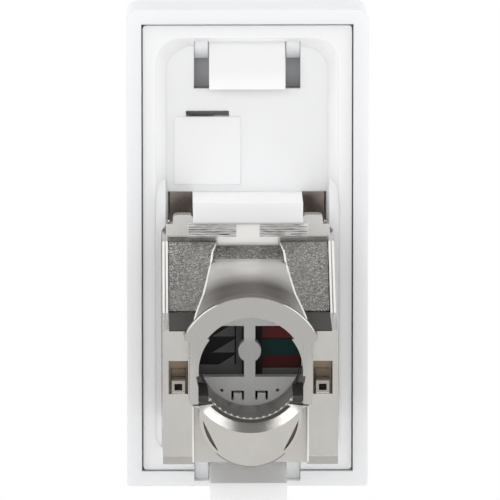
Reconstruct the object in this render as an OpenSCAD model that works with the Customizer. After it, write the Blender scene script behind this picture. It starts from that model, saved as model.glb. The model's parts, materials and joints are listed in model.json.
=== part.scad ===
// Half-width snap-in socket module with a shielded network jack, seen from the rear in its own frame.
// The origin is the centre of the rear rim, +Y points to the user's side and +Z points up.

/* [Front frame] */
// Width of the front frame
module_w = 22.5; // [22:0.1:24]
// Height of the front frame
module_h = 45; // [44.5:0.1:48]
// Depth of the front frame from its rear rim to its front face
bezel_depth = 6.8; // [6.6:0.1:8]
// Wall of the front frame all round
bezel_wall = 1.4; // [1.2:0.05:1.6]
// Thickness of the front plate
plate_t = 1.5; // [1.2:0.1:1.8]
// Corner radius of the front frame at the top
top_corner_r = 1.1; // [0.5:0.1:1.3]
// Corner radius of the front frame at the bottom
bottom_corner_r = 0.3; // [0.2:0.1:1.3]
// Chamfer round the front face
front_chamfer = 0.5; // [0.2:0.1:0.8]

/* [Carrier] */
// Gap between the front frame and the carrier
seat_gap = 0.12; // [0.08:0.02:0.2]
// Wall of the carrier at its rear rim
carrier_wall = 1.2; // [0.9:0.1:1.4]
// Drop from the rear rim of the front frame to that of the carrier
rim_drop = 0.2; // [0.1:0.1:0.5]
// Depth of the carrier's recess
recess_depth = 2; // [1.5:0.1:2.4]
// Inward lean of the recess wall over its depth
recess_lean = 1; // [0.5:0.1:1.1]
// Radius of the recess corners
recess_corner_r = 2.4; // [1.5:0.1:3]
// Thickness of the carrier's floor
floor_t = 1.4; // [1.2:0.1:1.6]
// Width of the snap latches at the top and the bottom
latch_w = 7.1; // [6:0.1:8]
// Width of the slot on each side of a snap latch
latch_slot = 1.4; // [1:0.1:1.6]
// Height of the upper latch tongue
tongue_h = 4.6; // [4:0.1:5.5]
// Thickness of the upper latch tongue
tongue_t = 1.1; // [0.9:0.1:1.4]
// Rise of the upper latch tongue's free end above the floor
tongue_rise = 1.7; // [1:0.1:2]
// Distance from the carrier's top edge to the upper latch tongue
tongue_top = 1.6; // [1.4:0.1:2]
// Reach of the lower latch arm behind the rear rim
arm_reach = 9; // [6:0.5:12]
// Height of the lower latch arm's top above the carrier's lower edge
arm_lift = 0.5; // [0.4:0.05:0.8]
// Thickness of the lower latch arm
arm_t = 1.3; // [1:0.05:1.35]
// Depth of the hook on the lower latch arm
arm_hook = 0.85; // [0.6:0.05:1.4]
// Length of the slope on the lower latch arm's hook
arm_hook_run = 2.6; // [2:0.1:4]
// Skin of the front frame left outside the lower latch
latch_skin = 0.5; // [0.4:0.1:0.8]
// Width of the thin slot in the floor
slot_w = 4; // [3:0.1:5]
// Height of the thin slot in the floor
slot_h = 0.55; // [0.4:0.05:0.8]
// Width of the raised pad on the floor
pad_w = 6.2; // [4:0.1:7]
// Height of the raised pad on the floor
pad_h = 6.4; // [4:0.1:7]
// Rise of the raised pad
pad_rise = 0.15; // [0.1:0.05:0.5]
// Distance of the pad's centre line left of the middle
pad_offset = 3.7; // [3.6:0.1:4]
// Distance from the upper latch tongue's end to the thin slot's centre
slot_drop = 2.38; // [1.8:0.02:2.6]

/* [Jack] */
// Width of the jack's front block
block_w = 14.5; // [14.2:0.1:14.8]
// Height of the jack's front block
block_h = 16.3; // [16:0.1:16.6]
// Height of the top of the front block above the middle of the module
block_top = 1.7; // [1.6:0.1:1.8]
// Setback of the jack's face behind the front plate's face
face_setback = 0.3; // [0.2:0.1:0.6]
// Height of the catch on top of the jack's front block
catch_h = 3.5; // [3:0.1:3.8]
// Thickness of the catch on top of the jack's front block
catch_t = 1.3; // [1:0.05:1.4]
// Clearance of the jack in the carrier and in the front plate
jack_gap = 0.15; // [0.1:0.05:0.25]
// Width of the jack's rear tray
tray_w = 15.9; // [15.6:0.1:16.4]
// Wall of the rear tray's sides
tray_wall = 0.5; // [0.4:0.05:0.6]
// Thickness of the rear tray's floor
tray_floor_t = 1.1; // [0.8:0.1:1.3]
// Distance of the flange's front face behind the rear rim
flange_front = 0.6; // [0.4:0.1:0.8]
// Distance of the flange's rear face behind the rear rim
flange_rear = 3.4; // [3.2:0.1:3.5]
// Rear face of the ribbed strip behind the rear rim
strip_rear = 3.7; // [3.6:0.05:3.8]
// Thickness of the ribbed strip
strip_t = 1.5; // [1.2:0.1:1.8]
// Width of the ribbed strip
strip_w = 15.2; // [14.8:0.1:15.4]
// Height of the ribbed strip
strip_h = 1.25; // [1.1:0.05:1.3]
// Height of the two ears on the strip
ear_h = 0.85; // [0.6:0.05:0.9]
// Width of an ear on the strip
ear_w = 1.9; // [1.4:0.1:2]
// Distance of an ear's centre from the middle
ear_x = 6; // [5.8:0.1:6.2]
// Width of the neck under the strip
neck_w = 5.7; // [5:0.1:6]
// Height of the neck under the strip
neck_h = 0.8; // [0.6:0.1:0.9]
// Ribs in each ribbed patch
rib_count = 5; // [3:1:5]
// Length of the ribs
rib_w = 4.45; // [4:0.05:4.6]
// Height of a rib
rib_h = 0.11; // [0.08:0.01:0.14]
// Height of the lowest rib's centre above the front block's top
rib_start = 0.17; // [0.1:0.01:0.25]
// Pitch of the ribs
rib_pitch = 0.22; // [0.18:0.01:0.23]
// Rise of the ribs above the strip
rib_rise = 0.2; // [0.08:0.02:0.3]
// Distance of a ribbed patch's centre from the middle
rib_x = 3.32; // [3.2:0.02:3.4]
// Width of the jack's latch arm on the carrier
hold_w = 10.2; // [9.8:0.1:10.4]
// Thickness of the jack's latch arm
hold_t = 1.1; // [0.9:0.1:1.3]
// Depth of the nose on the jack's latch arm, below its underside
hold_nose = 0.9; // [0.6:0.1:1]
// Length of the nose along the jack's latch arm
hold_nose_run = 0.9; // [0.7:0.1:1.1]
// Bevel under the nose on the jack's latch arm
hold_bevel = 0.2; // [0.1:0.05:0.4]

/* [Posts] */
// Rear face of the posts behind the rear rim
post_rear = 24; // [23.5:0.1:24.5]
// Front face of the posts behind the rear rim
post_front = 17.3; // [17.2:0.1:18]
// Inner faces of the posts from the middle
post_inner = 5.15; // [5.1:0.05:5.3]
// Depth of the posts' top below the middle of the module
post_top = 3.45; // [3.4:0.05:3.6]
// Bevel at the foot of a post
post_bevel = 0.9; // [0.5:0.1:1.2]
// Thickness of the ledge beside the hood
ledge_t = 0.5; // [0.4:0.05:0.55]
// Width of a latch window
window_w = 1.75; // [1.5:0.05:1.9]
// Height of a latch window
window_h = 3.05; // [2.6:0.05:3.2]
// Depth of a latch window
window_depth = 5; // [3:0.1:5.5]
// Depth of a latch window's top below the post's top
window_drop = 2.85; // [2.6:0.05:3.2]
// Height of the hook in a latch window
hook_h = 1.5; // [1.2:0.1:1.6]
// Width of the hook in a latch window
hook_w = 1.25; // [1:0.05:1.3]
// Drop of the hook's end behind the post's rear face
hook_drop = 0.35; // [0.2:0.05:0.5]
// Wall of the hook round the pocket in its end
hook_wall = 0.28; // [0.2:0.02:0.32]
// Depth of the pocket in the hook's end
hook_pocket = 0.8; // [0.4:0.1:1.5]

/* [Cover] */
// Hinge axis behind the rear rim
hinge_back = 5; // [4.9:0.05:5.1]
// Hinge axis above the middle of the module
hinge_z = 0.55; // [0.5:0.05:0.6]
// Radius of the cover's hinge barrel
barrel_r = 0.86; // [0.8:0.01:0.87]
// Height of the shoulders' front edge above the hinge axis
shoulder_rise = 1; // [0.98:0.01:1.04]
// Radius of a hinge pin
pin_r = 0.45; // [0.4:0.01:0.5]
// Radial clearance of a hinge pin in the cover
pin_gap = 0.05; // [0.03:0.01:0.08]
// Reach of a hinge pin into the cover
pin_reach = 1.6; // [1.2:0.1:2]
// Gap between the cover and the walls beside it
cover_gap = 0.1; // [0.08:0.01:0.15]
// Thickness of the cover's shoulders
shoulder_t = 1; // [0.8:0.05:1.1]
// Rear end of the shoulders behind the rear rim
shoulder_rear = 14.1; // [13.8:0.1:14.2]
// Height of the tray's side walls above the shoulders
wall_rise = 0.25; // [0.15:0.05:0.4]
// Gap between the shoulders and the ledges of the posts
ledge_gap = 0.6; // [0.5:0.05:0.8]
// Clearance of the cover's middle opening beside the jack's neck
neck_gap = 0.1; // [0.08:0.01:0.15]
// Half width of the hood at its front
hood_front_x = 3.3; // [3.15:0.05:3.4]
// Front end of the hood behind the rear rim
hood_front = 6.2; // [6:0.1:6.4]
// Height of the hood's front edge above the middle of the module
hood_front_z = 0.05; // [0:0.05:0.2]
// Thickness of the hood at its front
hood_front_t = 1; // [0.8:0.1:1]
// Distance behind the rear rim where the hood's sides reach down to the ledges
hood_mid = 12; // [11.8:0.1:13]
// Distance behind the rear rim of the dip in the hood's top
hood_dip = 15; // [14:0.1:16]
// Depth of the dip in the hood's top below the hood's front edge
hood_dip_drop = 0.65; // [0.5:0.05:0.8]
// Radius across the hood's top at the dip
hood_dip_r = 8; // [7.5:0.1:10]
// Wall of the hood round its inner pocket
hood_wall = 1.1; // [0.8:0.1:1.3]
// Front end of the cable's bore in the hood, behind the rear rim
hood_bore_front = 16; // [15.5:0.1:17]
// Gap between the hood and the ledges beside it
hood_gap = 0.3; // [0.2:0.05:0.4]
// Thickness of the sloping apron between the hinge barrels
apron_t = 0.5; // [0.4:0.05:0.6]
// Half width of the hood at its rear
hood_rear_x = 5.1; // [4.9:0.05:5.15]
// Outer radius of the hood at its rear, about the cable's axis
hood_rear_r = 6.6; // [6.3:0.05:6.7]
// Outer radius of the arch
arch_r = 6.8; // [6.6:0.05:7]
// Inner radius of the arch
arch_bore_r = 4.96; // [4.9:0.02:5.05]
// Thickness of the arch
arch_t = 1.7; // [1.4:0.1:2]
// Gap between the posts and the arch
arch_gap = 0.3; // [0.2:0.05:0.4]
// Drop of the arch's ends below its top
arch_drop = 3.7; // [3.4:0.05:3.8]
// Radius of the rounded ends of the arch
arch_end_r = 0.35; // [0.2:0.05:0.45]
// Width of a leg of the arch
leg_w = 0.8; // [0.7:0.05:0.9]

/* [Cable clamp] */
// Depth of the cable's axis below the middle of the module
cable_drop = 6.95; // [6.9:0.05:7.05]
// Radius of the cable that the clamp takes
cable_r = 4.7; // [4.5:0.05:4.72]
// Wall of the saddle's trough
trough_t = 0.9; // [0.7:0.05:1]
// Front end of the trough behind the rear rim
trough_front = 17.4; // [17.3:0.1:17.6]
// Height of the trough's edges below the cable's axis
trough_edge = 2.55; // [2.4:0.05:2.7]
// Wall of the collar at the trough's front end
collar_t = 0.18; // [0.15:0.01:0.25]
// Length of the collar at the trough's front end
collar_l = 0.8; // [0.5:0.1:1.5]
// Height of the collar's edges below the cable's axis
collar_edge = 1; // [0.8:0.1:2]
// Gap between the posts and the saddle's rear plate
saddle_gap = 0.2; // [0.1:0.05:0.3]
// Thickness of the saddle's rear plate
saddle_plate_t = 1.35; // [1.3:0.05:1.5]
// Radius of the saddle plate's round foot
foot_r = 4.68; // [4.5:0.02:4.75]
// Depth of the foot's centre below the cable's axis
foot_drop = 4.2; // [4.1:0.05:4.25]
// Length of the chamfer at the saddle's mouth
mouth_run = 1.05; // [0.9:0.05:1.2]
// Widening of the mouth's radius over its chamfer
mouth_rise = 1.05; // [0.9:0.05:1.1]
// Half width of the saddle across its lips
lip_x = 5.3; // [5.1:0.1:5.4]
// Thickness of a lip
lip_t = 0.4; // [0.3:0.05:0.5]
// Height of the lips below the cable's axis
lip_drop = 3.2; // [3.1:0.05:3.25]
// Grip teeth in the row
tooth_count = 15; // [11:2:17]
// Radius of a grip tooth
tooth_r = 0.08; // [0.06:0.01:0.12]
// Height of a grip tooth
tooth_h = 0.25; // [0.22:0.01:0.35]
// Angle between neighbouring grip teeth
tooth_step = 7.4; // [5.5:0.1:7.6]
// Height of a grip tooth above the trough's surface
tooth_rise = 0.08; // [0.02:0.01:0.09]
// Distance of the grip teeth in front of the start of the mouth
tooth_front = 0.4; // [0.4:0.05:0.6]
// Radius of the outer edge of the slits in the saddle's foot
slit_r = 4.35; // [4.2:0.05:4.4]
// Width of a slit in the saddle's foot
slit_w = 0.3; // [0.2:0.05:0.4]
// Depth of a slit in the saddle's foot
slit_depth = 0.5; // [0.3:0.1:0.8]
// Angle of a slit's middle below the level of the foot's centre
slit_angle = 26; // [20:1:32]
// Clearance between seated pieces
fit_gap = 0.05; // [0.02:0.01:0.08]
// Thickness of the tray's rear wall under the trough
rear_wall_t = 1.4; // [1.2:0.1:1.8]
// Distance of the tray's rear wall in front of the posts' rear face
rear_wall_inset = 1.8; // [1.5:0.1:2]

/* [Port] */
// Width of the plug cavity
port_w = 11.8; // [11.7:0.05:12]
// Height of the plug cavity
port_h = 6.9; // [6.8:0.05:7]
// Depth of the plug cavity's floor below the middle of the module
port_floor = 9.6; // [9.5:0.05:9.7]
// Depth of the plug cavity from the jack's face
port_depth = 12; // [11.8:0.1:12.2]
// Width of the upper step of the plug's latch notch
notch_w = 6.3; // [6:0.1:6.6]
// Width of the lower step of the plug's latch notch
notch_low_w = 3.4; // [3:0.1:3.8]
// Height of one step of the latch notch
notch_h = 1.25; // [1:0.05:1.4]
// Depth of the latch notch from the jack's face
notch_depth = 7.5; // [6:0.1:8]
// Thickness of the contact insert's ceiling
insert_t = 1.4; // [1.2:0.05:1.4]
// Thickness of the contact insert's rear wall
insert_wall = 1.3; // [1.1:0.1:1.4]
// Height of the contact insert's floor
insert_floor_t = 1.8; // [1.4:0.1:2]
// Setback of the contact insert behind the jack's face
insert_setback = 0.3; // [0.2:0.1:0.6]
// Contacts in the port
contact_count = 8; // [8:1:8]
// Pitch of the plug contacts
contact_pitch = 1.02; // [0.95:0.01:1.04]
// Width of a plug contact
contact_w = 0.42; // [0.35:0.01:0.45]
// Thickness of a plug contact
contact_t = 0.3; // [0.25:0.01:0.32]
// Length of the sloping spring leg, measured along the port
contact_run = 6; // [5:0.1:6.5]
// Drop of the spring leg into the port
contact_drop = 1.9; // [1.5:0.1:2]
// Distance of the contact's bend behind the jack's face
contact_bend = 2.4; // [2:0.1:3]
// Thickness of a shield spring
spring_t = 0.2; // [0.15:0.01:0.25]
// Height of a shield spring
spring_h = 3; // [2.5:0.1:3.5]
// Length of a shield spring
spring_l = 6; // [5:0.1:7]
// Bow of a shield spring into the port
spring_bow = 0.3; // [0.2:0.05:0.4]
// Distance of a shield spring behind the jack's face
spring_back = 2; // [1.5:0.1:2.5]

/* [Terminals] */
// Thickness of the circuit board
board_t = 1.2; // [1:0.1:1.3]
// Width of the circuit board
board_w = 12.6; // [12:0.1:13]
// Height of the circuit board
board_h = 11; // [10.8:0.1:11.2]
// Depth of the circuit board's top edge below the middle of the module
board_top = 2.3; // [2.25:0.05:2.4]
// Gap between the terminal block and the tray's side walls
idc_gap = 0.55; // [0.45:0.05:0.75]
// Depth of the terminal block's top below the middle of the module
idc_top = 4.8; // [4.7:0.05:4.95]
// Height of the terminal block
idc_h = 8.6; // [8.4:0.1:9]
// Depth of the terminal block from front to rear
idc_depth = 5.3; // [5.1:0.1:5.4]
// Terminals in each row
idc_rows = 4; // [4:1:4]
// Pitch of the terminals
idc_pitch = 2.1; // [2:0.02:2.12]
// Distance of a terminal row from the terminal block's side
idc_edge = 1.3; // [1.1:0.05:1.4]
// Thickness of a terminal
idc_blade_t = 0.4; // [0.3:0.02:0.45]
// Height of a terminal
idc_blade_h = 1.5; // [1.3:0.05:1.6]
// Reach of a terminal behind the terminal block
idc_reach = 1.3; // [1:0.1:1.5]
// Slit of a terminal
idc_slit = 0.4; // [0.3:0.02:0.5]
// Thickness of a code label
label_t = 0.3; // [0.2:0.05:0.4]
// Gap between a code label and the terminals beside it
label_gap = 0.75; // [0.7:0.05:0.95]
// Height of a code label
label_h = 5; // [4.5:0.1:5.4]
// Distance of a code label's inner edge from the middle
label_inner = 0.65; // [0.6:0.05:0.7]
// Thickness of the wire manager's plate
manager_t = 1.4; // [1.2:0.1:1.5]
// Rear face of the wire manager behind the rear rim
manager_rear = 17; // [16.8:0.1:17.1]
// Gap between the wire manager and the tray's side walls
manager_gap = 0.55; // [0.35:0.05:0.75]
// Width of the wire manager's raised middle
manager_mid_w = 7.4; // [7:0.1:7.6]
// Rise of the wire manager's raised middle
manager_rise = 0.55; // [0.4:0.05:0.55]
// Depth of the wire manager's shoulders below the middle of the module
manager_top = 4.05; // [4.02:0.01:4.1]
// Height of the wire manager below its shoulders
manager_h = 9.9; // [9.8:0.1:11]
// Gap between the wire manager's lower edge and the tray's floor
manager_foot = 0.95; // [0.5:0.05:1.5]
// Width of a rail on the wire manager
rail_w = 0.7; // [0.5:0.05:0.8]
// Half width of the centre bar
bar_x = 0.52; // [0.4:0.02:0.7]
// Radius of the disc on the centre bar
disc_r = 1.05; // [0.9:0.05:1.3]
// Depth of the disc's centre below the middle of the module
disc_drop = 6.65; // [6.4:0.05:6.9]
// Height of the windows
manager_window_h = 4.73; // [4.4:0.01:5]
// Depth of the windows' top below the middle of the module
manager_window_top = 4.31; // [4.2:0.01:4.4]
// Outer edge of a window from the middle
manager_window_x = 4.75; // [4.6:0.05:4.8]
// Width of the small tab slot under a window
tab_slot_w = 1.15; // [1:0.05:1.3]
// Height of the small tab slot under a window
tab_slot_h = 0.85; // [0.7:0.05:1]
// Line width of the small tab slot
tab_slot_line = 0.2; // [0.15:0.01:0.25]
// Gap between a window and the small tab slot under it
tab_slot_drop = 1.3; // [1.1:0.05:1.5]
// Distance of a small hole beside the tab slots from the middle
pip_x = 2.55; // [2.4:0.05:2.7]
// Depth of the small holes below the middle of the module
pip_drop = 10.3; // [10.1:0.05:10.5]
// Radius of a small hole
pip_r = 0.14; // [0.1:0.01:0.2]

/* [Hidden] */
$fn = 64;
eps = 0.01;
carrier_w = module_w - 2 * (bezel_wall + seat_gap);
carrier_h = module_h - 2 * (bezel_wall + seat_gap);
carrier_front = bezel_depth - plate_t;
floor_y = rim_drop + recess_depth;
face_y = bezel_depth - face_setback;
tongue_z = carrier_h / 2 - tongue_top;
arm_z = -carrier_h / 2 + arm_lift;
slot_x = -pad_offset;
slot_z = tongue_z - tongue_h - slot_drop;
pad_z = slot_z - slot_h / 2 - pad_h / 2;
block_bottom = block_top - block_h;
tray_bottom = manager_top + manager_h + manager_foot + tray_floor_t;
hold_z = block_top + strip_h + ear_h + jack_gap;
hold_rear = strip_rear + jack_gap + hold_nose_run;
cable_z = -cable_drop;
shoulder_top_z = hinge_z + shoulder_rise;
shoulder_end_z = -post_top + fit_gap;
neck_x = neck_w / 2 + neck_gap;
shoulder_slope = (shoulder_top_z - shoulder_end_z) / (shoulder_rear - hinge_back);
cover_x = tray_w / 2 - tray_wall - cover_gap;
idc_w = tray_w - 2 * (tray_wall + idc_gap);
idc_x = idc_w / 2 - idc_edge;
label_outer = idc_x - idc_blade_t / 2 - label_gap;
label_w = label_outer - label_inner;
label_x = (label_inner + label_outer) / 2;
manager_w = tray_w - 2 * (tray_wall + manager_gap);
ledge_front = shoulder_rear + ledge_gap;
arch_front = post_rear + arch_gap;
arch_rear = arch_front + arch_t;
arch_end_z = cable_z + arch_r - arch_drop;
lip_z = cable_z - lip_drop;
leg_end_z = lip_z + 2 * cover_gap;
leg_x = cable_r + fit_gap;
saddle_front = post_rear + saddle_gap;
saddle_rear = saddle_front + saddle_plate_t;
trough_r = cable_r + trough_t;
rear_wall_y = post_rear - rear_wall_inset;
port_top = -port_floor + port_h;
port_rear = face_y - port_depth;
insert_rear = port_rear - insert_wall;
board_rear = insert_rear - board_t;
idc_rear = board_rear - idc_depth;
contact_z = port_top;
idc_mid_z = -idc_top - idc_h / 2;
label_z = -idc_top - label_h / 2;
white = [0.95, 0.955, 0.965];
zinc = [0.8, 0.79, 0.77];
cast_zinc = [0.6, 0.58, 0.56];
grey_plastic = [0.72, 0.72, 0.71];
dark_plastic = [0.25, 0.25, 0.26];
gold = [0.85, 0.68, 0.3];
steel = [0.7, 0.7, 0.7];
board_green = [0.1, 0.35, 0.2];
label_red = [0.55, 0.18, 0.17];
label_grey = [0.35, 0.34, 0.34];

// Slab between two planes across Y, from an outline drawn in X and Z
module slab(y_low, y_high) {
    translate([0, y_high, 0]) rotate([90, 0, 0]) linear_extrude(y_high - y_low) children();
}

// Bar between two planes across X, from an outline drawn as distance behind the rim and height
module side_bar(x_low, x_high) {
    translate([x_high, 0, 0]) rotate([90, 0, -90]) linear_extrude(x_high - x_low) children();
}

// Round rod along Y, with its axis at the given X and Z
module rod_y(x, z, r, y_low, y_high) {
    translate([x, y_high, z]) rotate([90, 0, 0]) cylinder(r = r, h = y_high - y_low);
}

// Round rod along X, with its axis at the given Y and Z
module rod_x(y, z, r, x_low, x_high) {
    translate([x_low, y, z]) rotate([0, 90, 0]) cylinder(r = r, h = x_high - x_low);
}

// Block given by its low and high corners
module block(low, high) {
    translate(low) cube(high - low);
}

// Upright rectangle with its own corner radius at the top and at the bottom
module rounded_outline(w, h, r_top, r_bottom) {
    translate([0, (r_bottom - r_top) / 2]) square([w, h - r_top - r_bottom], center = true);
    translate([0, (h - r_top) / 2]) square([w - 2 * r_top, r_top], center = true);
    translate([0, -(h - r_bottom) / 2]) square([w - 2 * r_bottom, r_bottom], center = true);
    for (side = [-1, 1]) {
        translate([side * (w / 2 - r_top), h / 2 - r_top]) circle(r_top);
        translate([side * (w / 2 - r_bottom), -h / 2 + r_bottom]) circle(r_bottom);
    }
}

// Half width of the hood at a distance behind the rim
function hood_x(back) = hood_front_x
    + (hood_rear_x - hood_front_x) * (back - hood_front) / (arch_front - hood_front);

// Front frame with its plate, port window and latch relief
module bezel() {
    window_x = block_w / 2 + jack_gap;
    color(white) difference() {
        slab(0, bezel_depth) rounded_outline(module_w, module_h, top_corner_r, bottom_corner_r);
        slab(-1, carrier_front)
            square([module_w - 2 * bezel_wall, module_h - 2 * bezel_wall], center = true);
        block([-window_x, carrier_front - 1, block_bottom - jack_gap],
            [window_x, bezel_depth + 1, block_top + jack_gap]);
        block([-latch_w / 2 - latch_slot, -1, -module_h / 2 + latch_skin],
            [latch_w / 2 + latch_slot, floor_y, -module_h / 2 + bezel_wall + eps]);
        for (side = [-1, 1]) {
            translate([side * module_w / 2, bezel_depth, 0]) rotate([0, 0, 45])
                cube([front_chamfer * sqrt(2), front_chamfer * sqrt(2), module_h + 1], center = true);
            translate([0, bezel_depth, side * module_h / 2]) rotate([45, 0, 0])
                cube([module_w + 1, front_chamfer * sqrt(2), front_chamfer * sqrt(2)], center = true);
        }
    }
}

// Tray that snaps into the front frame and holds the jack
module carrier() {
    inner_w = carrier_w - 2 * carrier_wall;
    inner_h = carrier_h - 2 * carrier_wall;
    slot_x_out = latch_w / 2 + latch_slot;
    open_x = block_w / 2 + jack_gap;
    arm_under_z = arm_z - arm_t;
    color(white) difference() {
        union() {
            difference() {
                slab(rim_drop, carrier_front)
                    rounded_outline(carrier_w, carrier_h, bezel_wall / 4, bezel_wall / 4);
                hull() {
                    slab(rim_drop - eps, rim_drop)
                        rounded_outline(inner_w, inner_h, recess_corner_r, recess_corner_r, $fn = 32);
                    slab(floor_y - eps, floor_y)
                        rounded_outline(inner_w - 2 * recess_lean, inner_h - 2 * recess_lean,
                            recess_corner_r, recess_corner_r, $fn = 32);
                }
                slab(floor_y + floor_t, carrier_front + 1) square([inner_w, inner_h], center = true);
                block([-slot_x_out, rim_drop - 1, tongue_z - tongue_h],
                    [slot_x_out, floor_y + floor_t + 1, tongue_z]);
                block([-slot_x_out, rim_drop - 1, -carrier_h / 2 - 1],
                    [slot_x_out, floor_y + eps, -carrier_h / 2 + carrier_wall + recess_lean]);
            }
            side_bar(-latch_w / 2, latch_w / 2) polygon([
                [-floor_y, tongue_z + eps],
                [-floor_y - tongue_t, tongue_z + eps],
                [-floor_y - tongue_t, tongue_z],
                [-floor_y + tongue_rise - tongue_t, tongue_z - tongue_h + seat_gap],
                [-floor_y + tongue_rise, tongue_z - tongue_h + seat_gap]
            ]);
            side_bar(-latch_w / 2, latch_w / 2) polygon([
                [-floor_y - eps, arm_z],
                [arm_reach, arm_z],
                [arm_reach, arm_under_z - arm_hook / 3],
                [arm_reach - arm_hook_run / 3, arm_under_z - arm_hook],
                [arm_reach - arm_hook_run, arm_under_z],
                [-floor_y + seat_gap, arm_under_z],
                [-floor_y + seat_gap, -carrier_h / 2],
                [-floor_y - eps, -carrier_h / 2]
            ]);
            translate([slot_x, 0, pad_z]) slab(floor_y - pad_rise, floor_y + eps)
                square([pad_w, pad_h], center = true);
        }
        block([-open_x, floor_y - 1, block_bottom - jack_gap], [open_x, floor_y + floor_t + 1, hold_z]);
        for (side = [-1, 1]) {
            translate([side * (hold_w / 2 + open_x) / 2, floor_y + floor_t / 2, hold_z + hold_t / 2])
                cube([open_x - hold_w / 2, floor_t + 1, hold_t + 2 * eps], center = true);
        }
        translate([slot_x, floor_y + floor_t / 2, slot_z]) cube([slot_w, floor_t + 1, slot_h], center = true);
    }
    color(white) side_bar(-hold_w / 2, hold_w / 2) polygon([
        [-floor_y - floor_t, hold_z],
        [strip_rear + jack_gap, hold_z],
        [strip_rear + jack_gap, hold_z - hold_nose],
        [hold_rear - hold_bevel, hold_z - hold_nose],
        [hold_rear, hold_z - hold_nose + hold_bevel],
        [hold_rear, hold_z + hold_t],
        [-floor_y - floor_t, hold_z + hold_t]
    ]);
}

// Ribbed strip above the cover, with two ears and a neck
module jack_strip() {
    slab(-strip_rear, -strip_rear + strip_t) {
        translate([-strip_w / 2, block_top]) square([strip_w, strip_h]);
        for (side = [-1, 1]) {
            translate([side * ear_x - ear_w / 2, block_top]) square([ear_w, strip_h + ear_h / 2]);
            for (end = [-1, 1])
                translate([side * ear_x + end * (ear_w - ear_h) / 2, block_top + strip_h + ear_h / 2])
                    circle(ear_h / 2);
            translate([side * ear_x - (ear_w - ear_h) / 2, block_top + strip_h])
                square([ear_w - ear_h, ear_h]);
        }
        translate([-hold_w / 2, block_top]) square([hold_w, strip_h + ear_h / 2]);
        translate([-neck_w / 2, block_top - neck_h]) square([neck_w, neck_h + eps]);
    }
    for (side = [-1, 1], row = [0:rib_count - 1])
        translate([side * rib_x, -strip_rear - rib_rise / 2, block_top + rib_start + rib_pitch * row])
            cube([rib_w, rib_rise + eps, rib_h], center = true);
}

// One post with its ledge, latch window and hook, for the side at positive X
module jack_post() {
    outer = tray_w / 2;
    window_x = post_inner + (outer - post_inner - window_w) / 2;
    window_z = -post_top - window_drop;
    difference() {
        union() {
            side_bar(post_inner, outer) polygon([
                [post_front, -tray_bottom],
                [post_rear - post_bevel, -tray_bottom],
                [post_rear, -tray_bottom + post_bevel],
                [post_rear, -post_top],
                [post_front, -post_top]
            ]);
            translate([0, 0, -post_top - ledge_t]) linear_extrude(ledge_t) polygon([
                [hood_x(ledge_front) + hood_gap, -ledge_front],
                [outer, -ledge_front],
                [outer, -post_rear + post_bevel],
                [hood_x(post_rear - post_bevel) + hood_gap, -post_rear + post_bevel]
            ]);
        }
        block([window_x, -post_rear - 1, window_z - window_h],
            [window_x + window_w, -post_rear + window_depth, window_z]);
    }
    hook_x = window_x + (window_w - hook_w) / 2;
    hook_z = window_z - window_h;
    difference() {
        side_bar(hook_x, hook_x + hook_w) polygon([
            [post_rear - window_depth - eps, hook_z],
            [post_rear - hook_drop, hook_z],
            [post_rear - hook_drop, hook_z + hook_h - hook_drop],
            [post_rear - 2 * hook_drop, hook_z + hook_h],
            [post_rear - window_depth - eps, hook_z + hook_h]
        ]);
        block([hook_x + hook_wall, -post_rear - 1, hook_z + hook_wall],
            [hook_x + hook_w - hook_wall, -post_rear + hook_drop + hook_pocket,
                hook_z + hook_h - hook_drop - hook_wall]);
    }
}

// Cast body of the jack, from the port's face to the posts
module jack_housing() {
    outer = tray_w / 2;
    pin_wall_r = pin_r + fit_gap / 2;
    notch_rear = face_y - notch_depth;
    color(zinc) difference() {
        union() {
            block([-block_w / 2, -flange_rear, block_bottom], [block_w / 2, face_y, block_top]);
            block([-outer, -flange_rear, -tray_bottom], [outer, -flange_front, block_top]);
            block([-block_w / 2, carrier_front - jack_gap - catch_t, block_top - eps],
                [block_w / 2, carrier_front - jack_gap, block_top + catch_h]);
            block([-outer, -rear_wall_y, -tray_bottom], [outer, -flange_front, -tray_bottom + tray_floor_t]);
            difference() {
                block([-post_inner - eps, -rear_wall_y, -tray_bottom],
                    [post_inner + eps, -rear_wall_y + rear_wall_t, cable_z - trough_edge]);
                rod_y(0, cable_z, trough_r + fit_gap, -post_rear, -post_front);
            }
            for (side = [0, 1]) mirror([side, 0, 0]) {
                side_bar(outer - tray_wall, outer) polygon([
                    [flange_front, -tray_bottom],
                    [post_front + eps, -tray_bottom],
                    [post_front + eps, -post_top],
                    [ledge_front, -post_top],
                    [shoulder_rear, shoulder_end_z + wall_rise],
                    [hinge_back, shoulder_top_z + wall_rise],
                    [flange_rear - eps, block_top + wall_rise],
                    [flange_front, block_top]
                ]);
                jack_post();
            }
            jack_strip();
        }
        block([-port_w / 2 - fit_gap, -flange_rear - 1, -port_floor],
            [port_w / 2 + fit_gap, face_y + 1, port_top + insert_t + fit_gap]);
        block([-notch_w / 2, notch_rear, -port_floor - notch_h], [notch_w / 2, face_y + 1, -port_floor + eps]);
        block([-notch_low_w / 2, notch_rear, -port_floor - 2 * notch_h],
            [notch_low_w / 2, face_y + 1, -port_floor]);
        for (side = [-1, 1])
            rod_x(-hinge_back, hinge_z, pin_wall_r, side > 0 ? outer - tray_wall - eps : -outer - eps,
                side > 0 ? outer + eps : -outer + tray_wall + eps);
        for (side = [-1, 1])
            translate([side * (port_w + spring_t) / 2, face_y - spring_back - spring_l / 2,
                port_top - port_h / 2])
                cube([spring_t + 2 * fit_gap, spring_l + 2 * fit_gap, spring_h + 2 * fit_gap], center = true);
    }
}

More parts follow.
